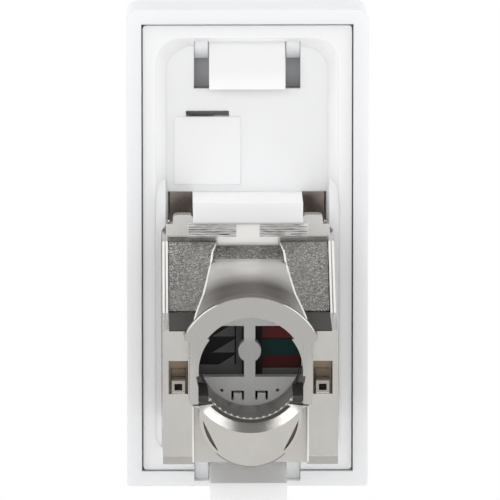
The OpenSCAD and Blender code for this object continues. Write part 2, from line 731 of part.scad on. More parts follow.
// Outline of the arch with its rounded ends and two legs
module arch_outline() {
    end_x = sqrt(pow(arch_r, 2) - pow(arch_end_z - cable_z, 2));
    difference() {
        union() {
            intersection() {
                translate([0, cable_z]) circle(arch_r);
                translate([-arch_r, arch_end_z]) square([2 * arch_r, arch_r]);
            }
            for (side = [-1, 1]) {
                translate([side * (end_x - arch_end_r), arch_end_z]) circle(arch_end_r);
                translate([side * (leg_x + leg_w / 2) - leg_w / 2, leg_end_z])
                    square([leg_w, arch_end_z - leg_end_z + arch_end_r]);
            }
        }
        translate([0, cable_z]) circle(arch_bore_r);
        translate([-leg_x, leg_end_z - 1]) square([2 * leg_x, cable_z - leg_end_z + 1]);
    }
}

// Thin cross section of the hood at a distance behind the rim, rounded about the given height
module hood_section(back, centre_z, r) {
    slab(-back - fit_gap, -back) intersection() {
        translate([0, centre_z]) circle(r);
        translate([-hood_x(back), shoulder_end_z]) square([2 * hood_x(back), arch_r]);
    }
}

// Hinged cast cover: barrels, sloping shoulders, hood, arch and legs
module clamp_cover() {
    under = shoulder_t * sqrt(1 + pow(shoulder_slope, 2));
    apron_front = hinge_back - barrel_r + hood_gap;
    apron_z = hood_front_z + shoulder_slope * (hood_front - apron_front);
    dip_z = hood_front_z - hood_dip_drop;
    color(cast_zinc) side_bar(-hood_front_x, hood_front_x) polygon([
        [apron_front, apron_z],
        [hood_front + eps, hood_front_z],
        [hood_front + eps, hood_front_z - apron_t],
        [apron_front, apron_z - apron_t]
    ]);
    color(cast_zinc) difference() {
        union() {
            side_bar(-cover_x, cover_x) polygon([
                [hinge_back, shoulder_top_z],
                [shoulder_rear, shoulder_end_z],
                [shoulder_rear - ledge_gap, shoulder_end_z - under + shoulder_slope * ledge_gap],
                [hinge_back, shoulder_top_z - under]
            ]);
            rod_x(-hinge_back, hinge_z, barrel_r, -cover_x, cover_x);
            difference() {
                union() {
                    hull() {
                        translate([0, -hood_front - fit_gap, hood_front_z - hood_front_t / 2])
                            cube([2 * hood_front_x, 2 * fit_gap, hood_front_t], center = true);
                        block([-hood_x(hood_mid), -hood_mid - fit_gap, shoulder_end_z],
                            [hood_x(hood_mid), -hood_mid, shoulder_end_z + fit_gap]);
                        hood_section(hood_dip, dip_z - hood_dip_r, hood_dip_r);
                    }
                    hull() {
                        hood_section(hood_dip, dip_z - hood_dip_r, hood_dip_r);
                        hood_section(arch_front, cable_z, hood_rear_r);
                    }
                }
                rod_y(0, cable_z, arch_bore_r, -arch_rear, -hood_bore_front);
                block([-hood_front_x + hood_wall, -hood_bore_front - eps, shoulder_end_z - 1],
                    [hood_front_x - hood_wall, -hood_mid, hood_front_z - hood_wall - hood_front_t / 2]);
            }
            slab(-arch_rear, -arch_front) arch_outline();
        }
        translate([0, 0, hood_front_z]) linear_extrude(2 * barrel_r) polygon([
            [-neck_x, -hinge_back + 2 * barrel_r],
            [-neck_x, -hinge_back],
            [-hood_front_x, -hood_front],
            [-hood_front_x - shoulder_t, -shoulder_rear + shoulder_t],
            [hood_front_x + shoulder_t, -shoulder_rear + shoulder_t],
            [hood_front_x, -hood_front],
            [neck_x, -hinge_back],
            [neck_x, -hinge_back + 2 * barrel_r]
        ]);
        block([-neck_x, -hood_front, hinge_z - 2 * barrel_r],
            [neck_x, -hinge_back + 2 * barrel_r, hinge_z + 2 * barrel_r]);
        for (side = [-1, 1])
            rod_x(-hinge_back, hinge_z, pin_r + pin_gap, side > 0 ? cover_x - pin_reach : -cover_x - 1,
                side > 0 ? cover_x + 1 : -cover_x + pin_reach);
    }
}

// Hinge pin of the cover on one side
module hinge_pin(side) {
    outer = tray_w / 2;
    inner = cover_x - pin_reach + fit_gap;
    color(steel) rod_x(-hinge_back, hinge_z, pin_r, side > 0 ? inner : -outer, side > 0 ? outer : -inner);
}

// Lower half of the cable clamp: trough, rear plate, lips and grip teeth
module cable_saddle() {
    color(zinc) union() {
        difference() {
            union() {
                intersection() {
                    rod_y(0, cable_z, trough_r, -saddle_rear, -trough_front);
                    block([-trough_r, -saddle_front - eps, cable_z - 2 * trough_r],
                        [trough_r, -trough_front, cable_z - trough_edge]);
                }
                intersection() {
                    rod_y(0, cable_z, cable_r + collar_t, -trough_front - collar_l, -trough_front);
                    block([-trough_r, -trough_front - collar_l, cable_z - 2 * trough_r],
                        [trough_r, -trough_front, cable_z - collar_edge]);
                }
                slab(-saddle_rear, -saddle_front) {
                    intersection() {
                        translate([0, cable_z - foot_drop]) circle(foot_r);
                        translate([-lip_x, lip_z - 2 * foot_r]) square([2 * lip_x, 2 * foot_r]);
                    }
                    polygon([[-lip_x, lip_z], [lip_x, lip_z], [0, lip_z - lip_x * lip_t]]);
                }
            }
            rod_y(0, cable_z, cable_r, -saddle_rear - 1, 0);
            translate([0, -saddle_rear + mouth_run, cable_z]) rotate([90, 0, 0])
                cylinder(r1 = cable_r, r2 = cable_r + mouth_rise, h = mouth_run);
            for (side = [-1, 1])
                translate([0, 0, cable_z - foot_drop]) slab(-saddle_rear - 1, -saddle_rear + slit_depth)
                    intersection() {
                        circle(slit_r);
                        rotate(side > 0 ? -slit_angle : 180 + slit_angle)
                            translate([slit_r - slit_w, -slit_r]) square([2 * slit_w, 2 * slit_r]);
                    }
        }
        for (i = [0:tooth_count - 1])
            translate([0, -saddle_rear + mouth_run + tooth_front, cable_z])
                rotate([0, 180 + tooth_step * (i - (tooth_count - 1) / 2), 0])
                    translate([0, 0, cable_r - tooth_rise]) cylinder(r = tooth_r, h = tooth_h);
    }
}

// Plastic plate that guides the wires, with a centre bar and a disc between two windows
module wire_manager() {
    window_w_each = manager_window_x - bar_x;
    tab_z = -manager_window_top - manager_window_h - tab_slot_drop;
    color(grey_plastic) {
        slab(-manager_rear, -manager_rear + manager_t) {
            difference() {
                union() {
                    translate([-manager_w / 2, -manager_top - manager_h]) square([manager_w, manager_h]);
                    translate([-manager_mid_w / 2, -manager_top - manager_h])
                        square([manager_mid_w, manager_h + manager_rise]);
                }
                for (side = [-1, 1]) {
                    translate([side * (bar_x + window_w_each / 2), -manager_window_top - manager_window_h / 2])
                        square([window_w_each, manager_window_h], center = true);
                    translate([side * pip_x, -pip_drop]) circle(pip_r);
                    translate([side * (bar_x + tab_slot_w / 2), tab_z - tab_slot_h / 2]) difference() {
                        square([tab_slot_w, tab_slot_h], center = true);
                        translate([0, -tab_slot_line])
                            square([tab_slot_w - 2 * tab_slot_line, tab_slot_h], center = true);
                    }
                }
            }
            translate([0, -disc_drop]) circle(disc_r);
        }
        for (side = [-1, 1])
            block([side * (manager_w - rail_w) / 2 - rail_w / 2, -manager_rear + manager_t - eps,
                -manager_top - manager_h],
                [side * (manager_w - rail_w) / 2 + rail_w / 2, idc_rear, -idc_top]);
    }
}

// Code label beside the centre bar
module code_label(side) {
    color(side > 0 ? label_red : label_grey)
        translate([side * label_x, idc_rear - label_t / 2, label_z])
            cube([label_w, label_t, label_h], center = true);
}

// Height of a terminal, counted from the top of its row
function idc_z(i) = idc_mid_z + idc_pitch * ((idc_rows - 1) / 2 - i % idc_rows);

// Side of a terminal, the left row first
function idc_side(i) = i < idc_rows ? -1 : 1;

// Terminal block with one slot for each terminal
module idc_block() {
    color(dark_plastic) difference() {
        block([-idc_w / 2, idc_rear, -idc_top - idc_h], [idc_w / 2, board_rear, -idc_top]);
        for (i = [0:contact_count - 1])
            translate([idc_side(i) * idc_x, idc_rear + idc_depth / 2, idc_z(i)])
                cube([idc_blade_t + 2 * fit_gap, idc_depth + 1, idc_blade_h + 2 * fit_gap], center = true);
    }
}

// Forked terminal that cuts into one wire
module idc_contact(i) {
    length = idc_depth + idc_reach;
    color(steel) translate([idc_side(i) * idc_x, board_rear - length / 2, idc_z(i)]) difference() {
        cube([idc_blade_t, length, idc_blade_h], center = true);
        translate([0, -length / 2, 0]) cube([idc_blade_t + 1, 2 * idc_reach, idc_slit], center = true);
    }
}

// Circuit board between the port and the terminals
module circuit_board() {
    color(board_green) block([-board_w / 2, board_rear, -board_top - board_h],
        [board_w / 2, insert_rear, -board_top]);
}

// Plastic insert that forms the ceiling and the rear wall of the port
module contact_insert() {
    ceiling_top = port_top + insert_t;
    side_x = tray_w / 2 - tray_wall - cover_gap;
    comb_x = contact_pitch * contact_count / 2;
    color(dark_plastic) difference() {
        union() {
            block([-port_w / 2, insert_rear, port_top], [port_w / 2, face_y - insert_setback, ceiling_top]);
            block([-side_x, insert_rear, -port_floor - insert_floor_t],
                [side_x, -flange_rear - cover_gap, ceiling_top]);
        }
        block([-port_w / 2, port_rear, -port_floor], [port_w / 2, face_y, port_top]);
        block([-comb_x, insert_rear - 1, contact_z - contact_t - fit_gap],
            [comb_x, port_rear + 1, contact_z + fit_gap]);
    }
}

// Spring contact of the port: a leg under the ceiling and a sloping leg in the port
module plug_contact(i) {
    x = contact_pitch * (i - (contact_count - 1) / 2);
    bend = -face_y + contact_bend;
    color(gold) side_bar(x - contact_w / 2, x + contact_w / 2) polygon([
        [-insert_rear, contact_z],
        [bend, contact_z],
        [bend - contact_t, contact_z - contact_t / 2],
        [bend - contact_t, contact_z - contact_t],
        [bend + contact_run, contact_z - contact_drop - contact_t],
        [bend + contact_run, contact_z - contact_drop],
        [bend + contact_t, contact_z - contact_t],
        [-insert_rear, contact_z - contact_t]
    ]);
}

// Bowed spring in the side of the port that meets a plug's shield
module shield_spring(side) {
    wall_x = side * (port_w / 2 + spring_t);
    middle_y = face_y - spring_back - spring_l / 2;
    inward = -side;
    color(steel) translate([wall_x, middle_y, port_top - port_h / 2 - spring_h / 2]) linear_extrude(spring_h)
        polygon([
            [0, spring_l / 2],
            [inward * spring_t, spring_l / 2],
            [inward * (spring_t + spring_bow), 0],
            [inward * spring_t, -spring_l / 2],
            [0, -spring_l / 2],
            [inward * spring_bow, 0]
        ]);
}

bezel();
carrier();
jack_housing();
clamp_cover();
hinge_pin(-1);  // hinge_pin_left
hinge_pin(1);  // hinge_pin_right
cable_saddle();
wire_manager();
code_label(-1);  // code_label_left
code_label(1);  // code_label_right
idc_block();
for (i = [1:contact_count]) idc_contact(i - 1);
circuit_board();
contact_insert();
for (i = [1:contact_count]) plug_contact(i - 1);
shield_spring(-1);  // shield_spring_left
shield_spring(1);  // shield_spring_right
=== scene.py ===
"""Looks of a half-width network socket module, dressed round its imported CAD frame.

The classes of the finer pieces hold their sizes in millimetres and degrees.
"""
import json
import logging
import math
from dataclasses import dataclass
from enum import Enum

import bmesh
import bpy
import numpy as np
from bpy.types import Material, Node, NodeSocket as Socket, NodeTree, Object
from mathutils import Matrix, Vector


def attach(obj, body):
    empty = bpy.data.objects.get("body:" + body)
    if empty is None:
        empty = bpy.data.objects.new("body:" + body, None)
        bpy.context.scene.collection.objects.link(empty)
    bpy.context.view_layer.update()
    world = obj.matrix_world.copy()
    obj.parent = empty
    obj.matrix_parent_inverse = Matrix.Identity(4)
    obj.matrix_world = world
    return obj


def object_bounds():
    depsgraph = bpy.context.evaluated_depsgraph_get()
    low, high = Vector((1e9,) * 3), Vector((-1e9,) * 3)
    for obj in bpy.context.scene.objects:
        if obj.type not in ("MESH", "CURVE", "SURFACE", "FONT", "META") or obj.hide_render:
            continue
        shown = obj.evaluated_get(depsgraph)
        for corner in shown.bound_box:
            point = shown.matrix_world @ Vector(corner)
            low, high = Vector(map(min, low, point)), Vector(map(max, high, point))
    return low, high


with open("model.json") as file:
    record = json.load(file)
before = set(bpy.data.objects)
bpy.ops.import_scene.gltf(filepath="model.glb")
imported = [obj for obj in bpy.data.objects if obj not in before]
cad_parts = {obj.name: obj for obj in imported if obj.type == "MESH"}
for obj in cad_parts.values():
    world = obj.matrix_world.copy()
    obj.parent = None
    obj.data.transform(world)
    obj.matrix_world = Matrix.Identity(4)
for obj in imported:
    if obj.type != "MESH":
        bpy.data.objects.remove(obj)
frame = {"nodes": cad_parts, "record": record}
CAD_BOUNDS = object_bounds()
LOG = logging.getLogger("socket_module")
MM = 0.001
SIDES = (("left", -1), ("right", 1))

Colour = tuple[float, float, float]
Point = tuple[float, float, float]
Pair = tuple[float, float]


class Body(Enum):
    """Bodies that a piece can ride on."""

    SOCKET = "socket"
    COVER = "cover"


class Slot(Enum):
    """Material slots of the record."""

    WHITE = "white_plastic"
    PLATED = "plated_zinc"
    CAST = "cast_zinc"
    GREY = "grey_plastic"
    DARK = "dark_plastic"
    LABEL_DARK = "label_dark"
    LABEL_COLOUR = "label_colour"
    BOARD = "board"
    STEEL = "steel"
    GOLD = "gold_contact"


class Tree:
    """A node tree with short calls to place and join nodes."""

    mix_colours = (6, 7)
    mix_colour_out = 2

    def __init__(self, tree: NodeTree) -> None:
        """Take hold of the node tree of a material, world or group."""
        self.tree = tree

    def add(self, kind: str, inputs: dict | None = None, **settings: object) -> Node:
        """Place a node, set it up and join or set its inputs.

        Args:
            kind: node type without its ShaderNode prefix.
            inputs: socket name or number against a value or an output socket.
            settings: properties of the node.

        Returns:
            The new node.
        """
        node = self.tree.nodes.new("ShaderNode" + kind)
        for name, value in settings.items():
            setattr(node, name, value)
        self.feed(node, inputs or {})
        return node

    def feed(self, node: Node, inputs: dict) -> None:
        """Join or set inputs of a node.

        Args:
            node: the node.
            inputs: socket name or number against a value or an output socket.
        """
        for name, value in inputs.items():
            if isinstance(value, Socket):
                self.tree.links.new(value, node.inputs[name])
            else:
                node.inputs[name].default_value = value

    def ramp(self, value: Socket, low: float, high: float) -> Socket:
        """Spread a value of 0 to 1 over the range from low to high."""
        inputs = {"Value": value, "To Min": low, "To Max": high}
        return self.add("MapRange", inputs).outputs["Result"]

    def step(self, value: Socket, low: float, high: float, kind: str = "SMOOTHSTEP") -> Socket:
        """Rise from 0 to 1 while a value goes from low to high."""
        inputs = {"Value": value, "From Min": low, "From Max": high}
        return self.add("MapRange", inputs, interpolation_type=kind).outputs["Result"]

    def blend(self, factor: Socket, one: Colour | Socket, two: Colour | Socket) -> Socket:
        """Mix two colours by a factor.

        Args:
            factor: socket that gives 0 for the first colour and 1 for the second.
            one: first colour, or a socket that gives it.
            two: second colour, or a socket that gives it.

        Returns:
            The colour socket.
        """
        inputs = {0: factor}
        for number, colour in zip(self.mix_colours, (one, two)):
            inputs[number] = colour if isinstance(colour, Socket) else (*colour, 1)
        return self.add("Mix", inputs, data_type="RGBA").outputs[self.mix_colour_out]

    def math(self, operation: str, one: float | Socket, two: float | Socket = 0.0) -> Socket:
        """Work out a number from one or two others by a named operation."""
        return self.add("Math", {0: one, 1: two}, operation=operation).outputs["Value"]

    def length(self, place: Socket, share: Point, move: Point = (0, 0, 0)) -> Socket:
        """Length of a place's vector after it is scaled and moved along each axis."""
        flat = self.add("VectorMath", {0: place, 1: share, 2: move}, operation="MULTIPLY_ADD")
        return self.add("VectorMath", {0: flat.outputs[0]}, operation="LENGTH").outputs["Value"]


class Effects:
    """Shader node groups that more than one finish uses."""

    cloud_scale = 140.0
    cloud_levels = (0.3, 0.7)
    stain_scale = 260.0
    stain_levels = (0.32, 0.68)
    fleck_power = 3.0

    def __init__(self) -> None:
        """Build each group once."""
        self.moulded = self._moulded()
        self.cast = self._cast()

    @staticmethod
    def _group(name: str, outputs: list[str]) -> tuple[Tree, Node, Node]:
        """Start a group that takes a place and a scale.

        Args:
            name: name of the group.
            outputs: names of its float outputs.

        Returns:
            The group's tree, its input node and its output node.
        """
        group = bpy.data.node_groups.new(name, "ShaderNodeTree")
        sockets = [("Place", "INPUT", "NodeSocketVector"), ("Scale", "INPUT", "NodeSocketFloat")]
        sockets += [(output, "OUTPUT", "NodeSocketFloat") for output in outputs]
        for label, way, kind in sockets:
            group.interface.new_socket(label, in_out=way, socket_type=kind)
        return Tree(group), group.nodes.new("NodeGroupInput"), group.nodes.new("NodeGroupOutput")

    def _moulded(self) -> NodeTree:
        """Fine spark-eroded skin of moulded plastic with a slow change of tone.

        Returns:
            The group, with outputs Height and Cloud.
        """
        tree, start, end = self._group("moulded_skin", ["Height", "Cloud"])
        place, scale = start.outputs["Place"], start.outputs["Scale"]
        fine = tree.add("TexNoise", {"Vector": place, "Scale": scale, "Detail": 2.0,
                                     "Roughness": 0.6})
        slow = tree.add("TexNoise", {"Vector": place, "Scale": self.cloud_scale, "Detail": 3.0,
                                     "Roughness": 0.5})
        cloud = tree.step(slow.outputs["Fac"], *self.cloud_levels, "LINEAR")
        tree.feed(end, {"Height": fine.outputs["Fac"], "Cloud": cloud})
        return tree.tree

    def _cast(self) -> NodeTree:
        """Skin of cast metal: crystals that each lean their own way, painted glints and stains.

        A crystal's height is the distance from its centre along a direction of its own, so that
        it is a flat facet.

        Returns:
            The group, with outputs Height, Fleck and Stain.
        """
        tree, start, end = self._group("cast_skin", ["Height", "Fleck", "Stain"])
        place, scale = start.outputs["Place"], start.outputs["Scale"]
        cells = tree.add("TexVoronoi", {"Vector": place, "Scale": scale, "Randomness": 1.0},
                         feature="F1")
        tint = cells.outputs["Color"]
        lean = tree.add("VectorMath", {0: tint, 1: (0.5, 0.5, 0.5)}, operation="SUBTRACT")
        away = tree.add("VectorMath", {0: place, 1: cells.outputs["Position"]},
                        operation="SUBTRACT")
        facet = tree.add("VectorMath", {0: lean.outputs[0], 1: away.outputs[0]},
                         operation="DOT_PRODUCT")
        height = tree.math("MULTIPLY", facet.outputs["Value"], scale)
        red = tree.add("SeparateColor", {0: tint}).outputs[0]
        slow = tree.add("TexNoise", {"Vector": place, "Scale": self.stain_scale, "Detail": 4.0,
                                     "Roughness": 0.6})
        # Bright flecks on random crystals: painted glints
        glint_fleck = tree.math("POWER", red, self.fleck_power)
        stain = tree.step(slow.outputs["Fac"], *self.stain_levels, "LINEAR")
        tree.feed(end, {"Height": height, "Fleck": glint_fleck, "Stain": stain})
        return tree.tree


@dataclass(frozen=True)
class Ground:
    """What a finish works on: tree, shader, node with the skin, and the place on the object."""

    tree: Tree
    shader: Node
    skin: Node
    place: Socket
    x: Socket
    y: Socket
    z: Socket
    bevel_samples: int = 6

    def overlay(self, colour: Socket, shades: tuple["Shade", ...]) -> Socket:
        """Lay the tones of stretches over a colour, one after the other.

        Args:
            colour: socket with the colour below.
            shades: stretches in order.

        Returns:
            The colour socket.
        """
        for shade in shades:
            colour = self.tree.blend(shade.mask(self), colour, shade.colour)
        return colour

    def relief(self, height: Socket, depth: float, edge: float) -> None:
        """Give the shader a bump, and edges that look rounded.

        Args:
            height: socket with the bump's height.
            depth: depth of the bump.
            edge: radius of the edges, 0 if they stay sharp.
        """
        inputs = {"Height": height, "Strength": 1.0, "Distance": depth}
        if edge:
            bevel = self.tree.add("Bevel", {"Radius": edge}, samples=self.bevel_samples)
            inputs["Normal"] = bevel.outputs["Normal"]
        bump = self.tree.add("Bump", inputs)
        self.tree.feed(self.shader, {"Normal": bump.outputs["Normal"]})


def start_material(name: str, group: NodeTree, grain: float) -> tuple[Material, Ground]:
    """Start a material with a Principled shader and a skin in Object coordinates.

    Args:
        name: name of the material.
        group: node group of the skin.
        grain: scale of the skin.

    Returns:
        The material and what its finish works on.
    """
    material = bpy.data.materials.new(name)
    material.use_nodes = True
    material.node_tree.nodes.clear()
    tree = Tree(material.node_tree)
    shader = tree.add("BsdfPrincipled")
    tree.add("OutputMaterial", {"Surface": shader.outputs["BSDF"]})
    place = tree.add("TexCoord").outputs["Object"]
    skin = tree.add("Group", {"Place": place, "Scale": grain}, node_tree=group)
    spot = tree.add("SeparateXYZ", {0: place})
    return material, Ground(tree, shader, skin, place, *spot.outputs)


@dataclass(frozen=True)
class Shade:
    """A stretch of a piece with a tone laid over it, in two boxes mirrored in X, in millimetres.

    Most stretches are painted light and shade.

    A low X below 0 joins the two boxes in the middle.
    """

    low: Point
    high: Point
    colour: Colour
    soft: float = 0.05
    dull: float = 0.0

    def mask(self, ground: Ground) -> Socket:
        """Mask of the stretch, with a soft edge inside it.

        Args:
            ground: what the finish works on.

        Returns:
            A socket with 1 inside and 0 outside.
        """
        tree, soft = ground.tree, self.soft * MM
        places = (tree.math("ABSOLUTE", ground.x), ground.y, ground.z)
        mask: float | Socket = 1.0
        for place, low, high in zip(places, self.low, self.high):
            mask = tree.math("MULTIPLY", tree.step(place, low * MM, low * MM + soft), mask)
            mask = tree.math("MULTIPLY", tree.step(place, high * MM, high * MM - soft), mask)
        return mask


@dataclass(frozen=True)
class RingShade(Shade):
    """A stretch that is cut down to a ring about an axis along Y, in millimetres."""

    centre_z: float = 0.0
    inner_r: float = 0.0
    outer_r: float = 1.0

    def mask(self, ground: Ground) -> Socket:
        """Mask of the ring inside the boxes.

        Args:
            ground: what the finish works on.

        Returns:
            A socket with 1 inside and 0 outside.
        """
        tree = ground.tree
        reach = tree.length(ground.place, (1, 0, 1), (0, 0, -self.centre_z * MM))
        inner, outer, soft = self.inner_r * MM, self.outer_r * MM, self.soft * MM
        ring = tree.math("MULTIPLY", tree.step(reach, inner, inner + soft),
                         tree.step(reach, outer, outer - soft))
        return tree.math("MULTIPLY", ring, super().mask(ground))


@dataclass(frozen=True)
class Plastic:
    """Moulded plastic with a fine eroded skin."""

    name: str
    pale: Colour
    deep: Colour
    smooth: float
    rough: float
    grain: float = 9000.0
    grain_depth: float = 0.004 * MM
    edge: float = 0.12 * MM
    scatter: float = 0.0
    scatter_reach: float = 1.5 * MM
    shades: tuple[Shade, ...] = ()
    refraction: float = 1.49
    shine: float = 0.5

    def make(self, effects: Effects) -> Material:
        """Build the material.

        Args:
            effects: shared node groups.

        Returns:
            The material.
        """
        material, ground = start_material(self.name, effects.moulded, self.grain)
        rough = ground.tree.ramp(ground.skin.outputs["Cloud"], self.smooth, self.rough)
        ground.tree.feed(ground.shader, {
            "Base Color": self.colour(ground), "Roughness": rough, "IOR": self.refraction,
            "Specular IOR Level": self.shine, "Subsurface Weight": self.scatter,
            "Subsurface Radius": (1.0, 1.0, 1.0), "Subsurface Scale": self.scatter_reach})
        ground.relief(ground.skin.outputs["Height"], self.grain_depth, self.edge)
        return material

    def colour(self, ground: Ground) -> Socket:
        """Slow change from pale to deep, overlaid by each stretch in turn."""
        plain = ground.tree.blend(ground.skin.outputs["Cloud"], self.pale, self.deep)
        return ground.overlay(plain, self.shades)


@dataclass(frozen=True)
class Metal:
    """Rolled or plated metal with a fine crystal skin."""

    name: str
    pale: Colour
    deep: Colour
    smooth: float
    rough: float
    grain: float
    grain_depth: float
    edge: float = 0.08 * MM
    metallic: float = 1.0
    dull_rough: float = 0.9

    def make(self, effects: Effects) -> Material:
        """Build the material.

        Args:
            effects: shared node groups.

        Returns:
            The material.
        """
        material, ground = start_material(self.name, effects.cast, self.grain)
        tree, shader = ground.tree, ground.shader
        tree.feed(shader, {"Base Color": self.colour(ground), "Metallic": self.metallic})
        rough = tree.ramp(ground.skin.outputs["Stain"], self.smooth, self.rough)
        dull = self.matt(ground)
        if dull is not None:
            rough = tree.add("Mix", {0: dull, 2: rough, 3: self.dull_rough}).outputs[0]
            tree.feed(shader, {"Metallic": tree.ramp(dull, self.metallic, 0.0)})
        tree.feed(shader, {"Roughness": rough})
        ground.relief(self.height(ground), self.grain_depth, self.edge)
        return material

    def colour(self, ground: Ground) -> Socket:
        """Colour that goes from pale to deep with the stains."""
        return ground.tree.blend(ground.skin.outputs["Stain"], self.pale, self.deep)

    def height(self, ground: Ground) -> Socket:
        """Height of the crystal skin."""
        return ground.skin.outputs["Height"]

    def matt(self, ground: Ground) -> Socket | None:
        """Mask of the stretches without shine, none if all of it shines."""
        return None


@dataclass(frozen=True)
class ShadedMetal(Metal):
    """Plated metal with stretches of other tones, mostly painted light and shade.

    An optional streaked stretch is drawn-out grain with painted shade in the grooves of ribs.
    """

    shades: tuple[Shade, ...] = ()
    grain_and_groove_shade: Shade | None = None
    streak_grain: Point = (900.0, 9000.0, 9000.0)
    streak_levels: Pair = (0.3, 0.7)
    line_start: float = 1.87 * MM
    line_pitch: float = 0.22 * MM
    line_levels: Pair = (0.3, 0.7)
    line_gain: Pair = (-0.2, 0.12)

    def colour(self, ground: Ground) -> Socket:
        """Stained plating, overlaid by each stretch in turn.

        The streaked stretch is drawn-out noise that is darker along level lines, which are
        painted shade in the grooves between the ribs.

        Args:
            ground: what the finish works on.

        Returns:
            The colour socket.
        """
        colour = ground.overlay(super().colour(ground), self.shades)
        if self.grain_and_groove_shade is None:
            return colour
        tree = ground.tree
        drawn = tree.add("Mapping", {"Vector": ground.place, "Scale": self.streak_grain})
        noise = tree.add("TexNoise", {"Vector": drawn.outputs[0], "Scale": 1.0, "Detail": 1.0})
        # Darker level lines: painted shade in the grooves between the ribs
        level = tree.math("SUBTRACT", ground.z, self.line_start)
        share = tree.math("FRACT", tree.math("DIVIDE", level, self.line_pitch))
        line = tree.ramp(tree.step(share, *self.line_levels), *self.line_gain)
        dark = tree.math("ADD", noise.outputs["Fac"], line)
        streak = tree.math("MULTIPLY", tree.step(dark, *self.streak_levels),
                           self.grain_and_groove_shade.mask(ground))
        return tree.blend(streak, colour, self.grain_and_groove_shade.colour)

    def matt(self, ground: Ground) -> Socket | None:
        """Mask of all the stretches that are marked as dull.

        Args:
            ground: what the finish works on.

        Returns:
            The mask's socket, or none if no stretch is dull.
        """
        mask = None
        for shade in self.shades:
            if shade.dull:
                zone = ground.tree.math("MULTIPLY", shade.mask(ground), shade.dull)
                mask = zone if mask is None else ground.tree.math("MAXIMUM", mask, zone)
        return mask


@dataclass(frozen=True)
class BlastedCasting(Metal):
    """Cast cover, blasted to a sparkling grain with painted glints in front, smooth at the arch."""

    # Colour of the painted glints
    glint_fleck: Colour = (0.74, 0.72, 0.69)
    dull: Colour = (0.3, 0.288, 0.275)
    # Painted shadow along the top of the shoulders under the strip, and where it sets in
    crest_shadow: Colour = (0.2, 0.185, 0.175)
    crest_shadow_z: Pair = (1.42 * MM, 1.54 * MM)
    arch_y: Pair = (-17.0 * MM, -16.0 * MM)
    # Painted shade on the ledge behind the arch, which also has no shine
    ledge: Shade = Shade((-1.0, -25.85, -3.0), (5.2, -23.5, 1.0), (0.15, 0.13, 0.115), 0.15)
    # Painted light: the arch's legs are painted lighter, over a wide soft edge
    legs: Shade = Shade((4.0, -27.0, -13.0), (9.0, -15.0, -5.0), (0.53, 0.515, 0.49), 2.0)

    def _blast(self, ground: Ground) -> Socket:
        """Mask that is 1 on the blasted stretch and 0 at the arch."""
        return ground.tree.step(ground.y, *self.arch_y)

    def colour(self, ground: Ground) -> Socket:
        """Dull grain with painted glints, a painted shadow along the top of the shoulders and the
        plain casting at the arch, with painted light on its legs and painted shade on its ledge.

        Args:
            ground: what the finish works on.

        Returns:
            The colour socket.
        """
        tree = ground.tree
        grain = tree.blend(ground.skin.outputs["Fleck"], self.dull, self.glint_fleck)
        crest_shadow = tree.step(ground.z, *self.crest_shadow_z)
        plain = ground.overlay(super().colour(ground), (self.legs, self.ledge))
        return tree.blend(self._blast(ground), plain, tree.blend(crest_shadow, grain, self.crest_shadow))

    def height(self, ground: Ground) -> Socket:
        """Height of the grain, which dies away at the arch."""
        return ground.tree.math("MULTIPLY", super().height(ground), self._blast(ground))

    def matt(self, ground: Ground) -> Socket | None:
        """Mask of the ledge behind the arch, which has painted shade and no shine."""
        return self.ledge.mask(ground)


@dataclass(frozen=True)
class HoodCasting(Metal):
    """Smooth casting of the hood with a brown shadow in its valley, deepest in the middle."""

    valley: Colour = (0.07, 0.056, 0.047)
    valley_in: Pair = (-9.5 * MM, -17.0 * MM)
    valley_out: Pair = (-23.6 * MM, -26.0 * MM)
    side_x: Pair = (2.4 * MM, 5.0 * MM)
    side_share: float = 0.65

    def colour(self, ground: Ground) -> Socket:
        """Stained casting with the shadow of the valley.

        Args:
            ground: what the finish works on.

        Returns:
            The colour socket.
        """
        tree = ground.tree
        across = tree.math("ABSOLUTE", ground.x)
        sides = tree.ramp(tree.step(across, *self.side_x), 1.0, self.side_share)
        along = tree.math("SUBTRACT", tree.step(ground.y, *self.valley_in),
                          tree.step(ground.y, *self.valley_out))
        return tree.blend(tree.math("MULTIPLY", along, sides), super().colour(ground), self.valley)


@dataclass(frozen=True)
class Label(Plastic):
    """Printed film with a slight wave and sharp edges."""

    smooth: float = 0.42
    rough: float = 0.55
    grain: float = 2500.0
    grain_depth: float = 0.003 * MM
    edge: float = 0.0
    refraction: float = 1.5
    shine: float = 0.2


@dataclass(frozen=True)
class ColourBands(Label):
    """One colour band for each wire of a row, the lowest pale, and a deep margin at the bar."""

    pale: Colour = (0.22, 0.22, 0.22)
    deep: Colour = (0.03, 0.028, 0.028)
    margin_x: Pair = (1.18 * MM, 1.24 * MM)
    low: float = -9.8 * MM
    high: float = -4.8 * MM
    bands: tuple[tuple[float, Colour], ...] = (
        (-8.83 * MM, (0.11, 0.018, 0.018)), (-7.62 * MM, (0.008, 0.06, 0.054)),
        (-6.2 * MM, (0.02, 0.02, 0.02)), (-6.04 * MM, (0.23, 0.035, 0.038)))

    def colour(self, ground: Ground) -> Socket:
        """Bands that change at set heights.

        Args:
            ground: what the finish works on.

        Returns:
            The colour socket.
        """
        tree = ground.tree
        level = tree.step(ground.z, self.low, self.high, "LINEAR")
        ramp = tree.add("ValToRGB", {"Fac": level})
        ramp.color_ramp.interpolation = "CONSTANT"
        stops = ramp.color_ramp.elements
        stops.remove(stops[1])
        stops[0].color = (*self.pale, 1)
        for z, colour in self.bands:
            stops.new((z - self.low) / (self.high - self.low)).color = (*colour, 1)
        edge = tree.step(ground.x, *self.margin_x)
        return tree.blend(edge, self.deep, ramp.outputs["Color"])


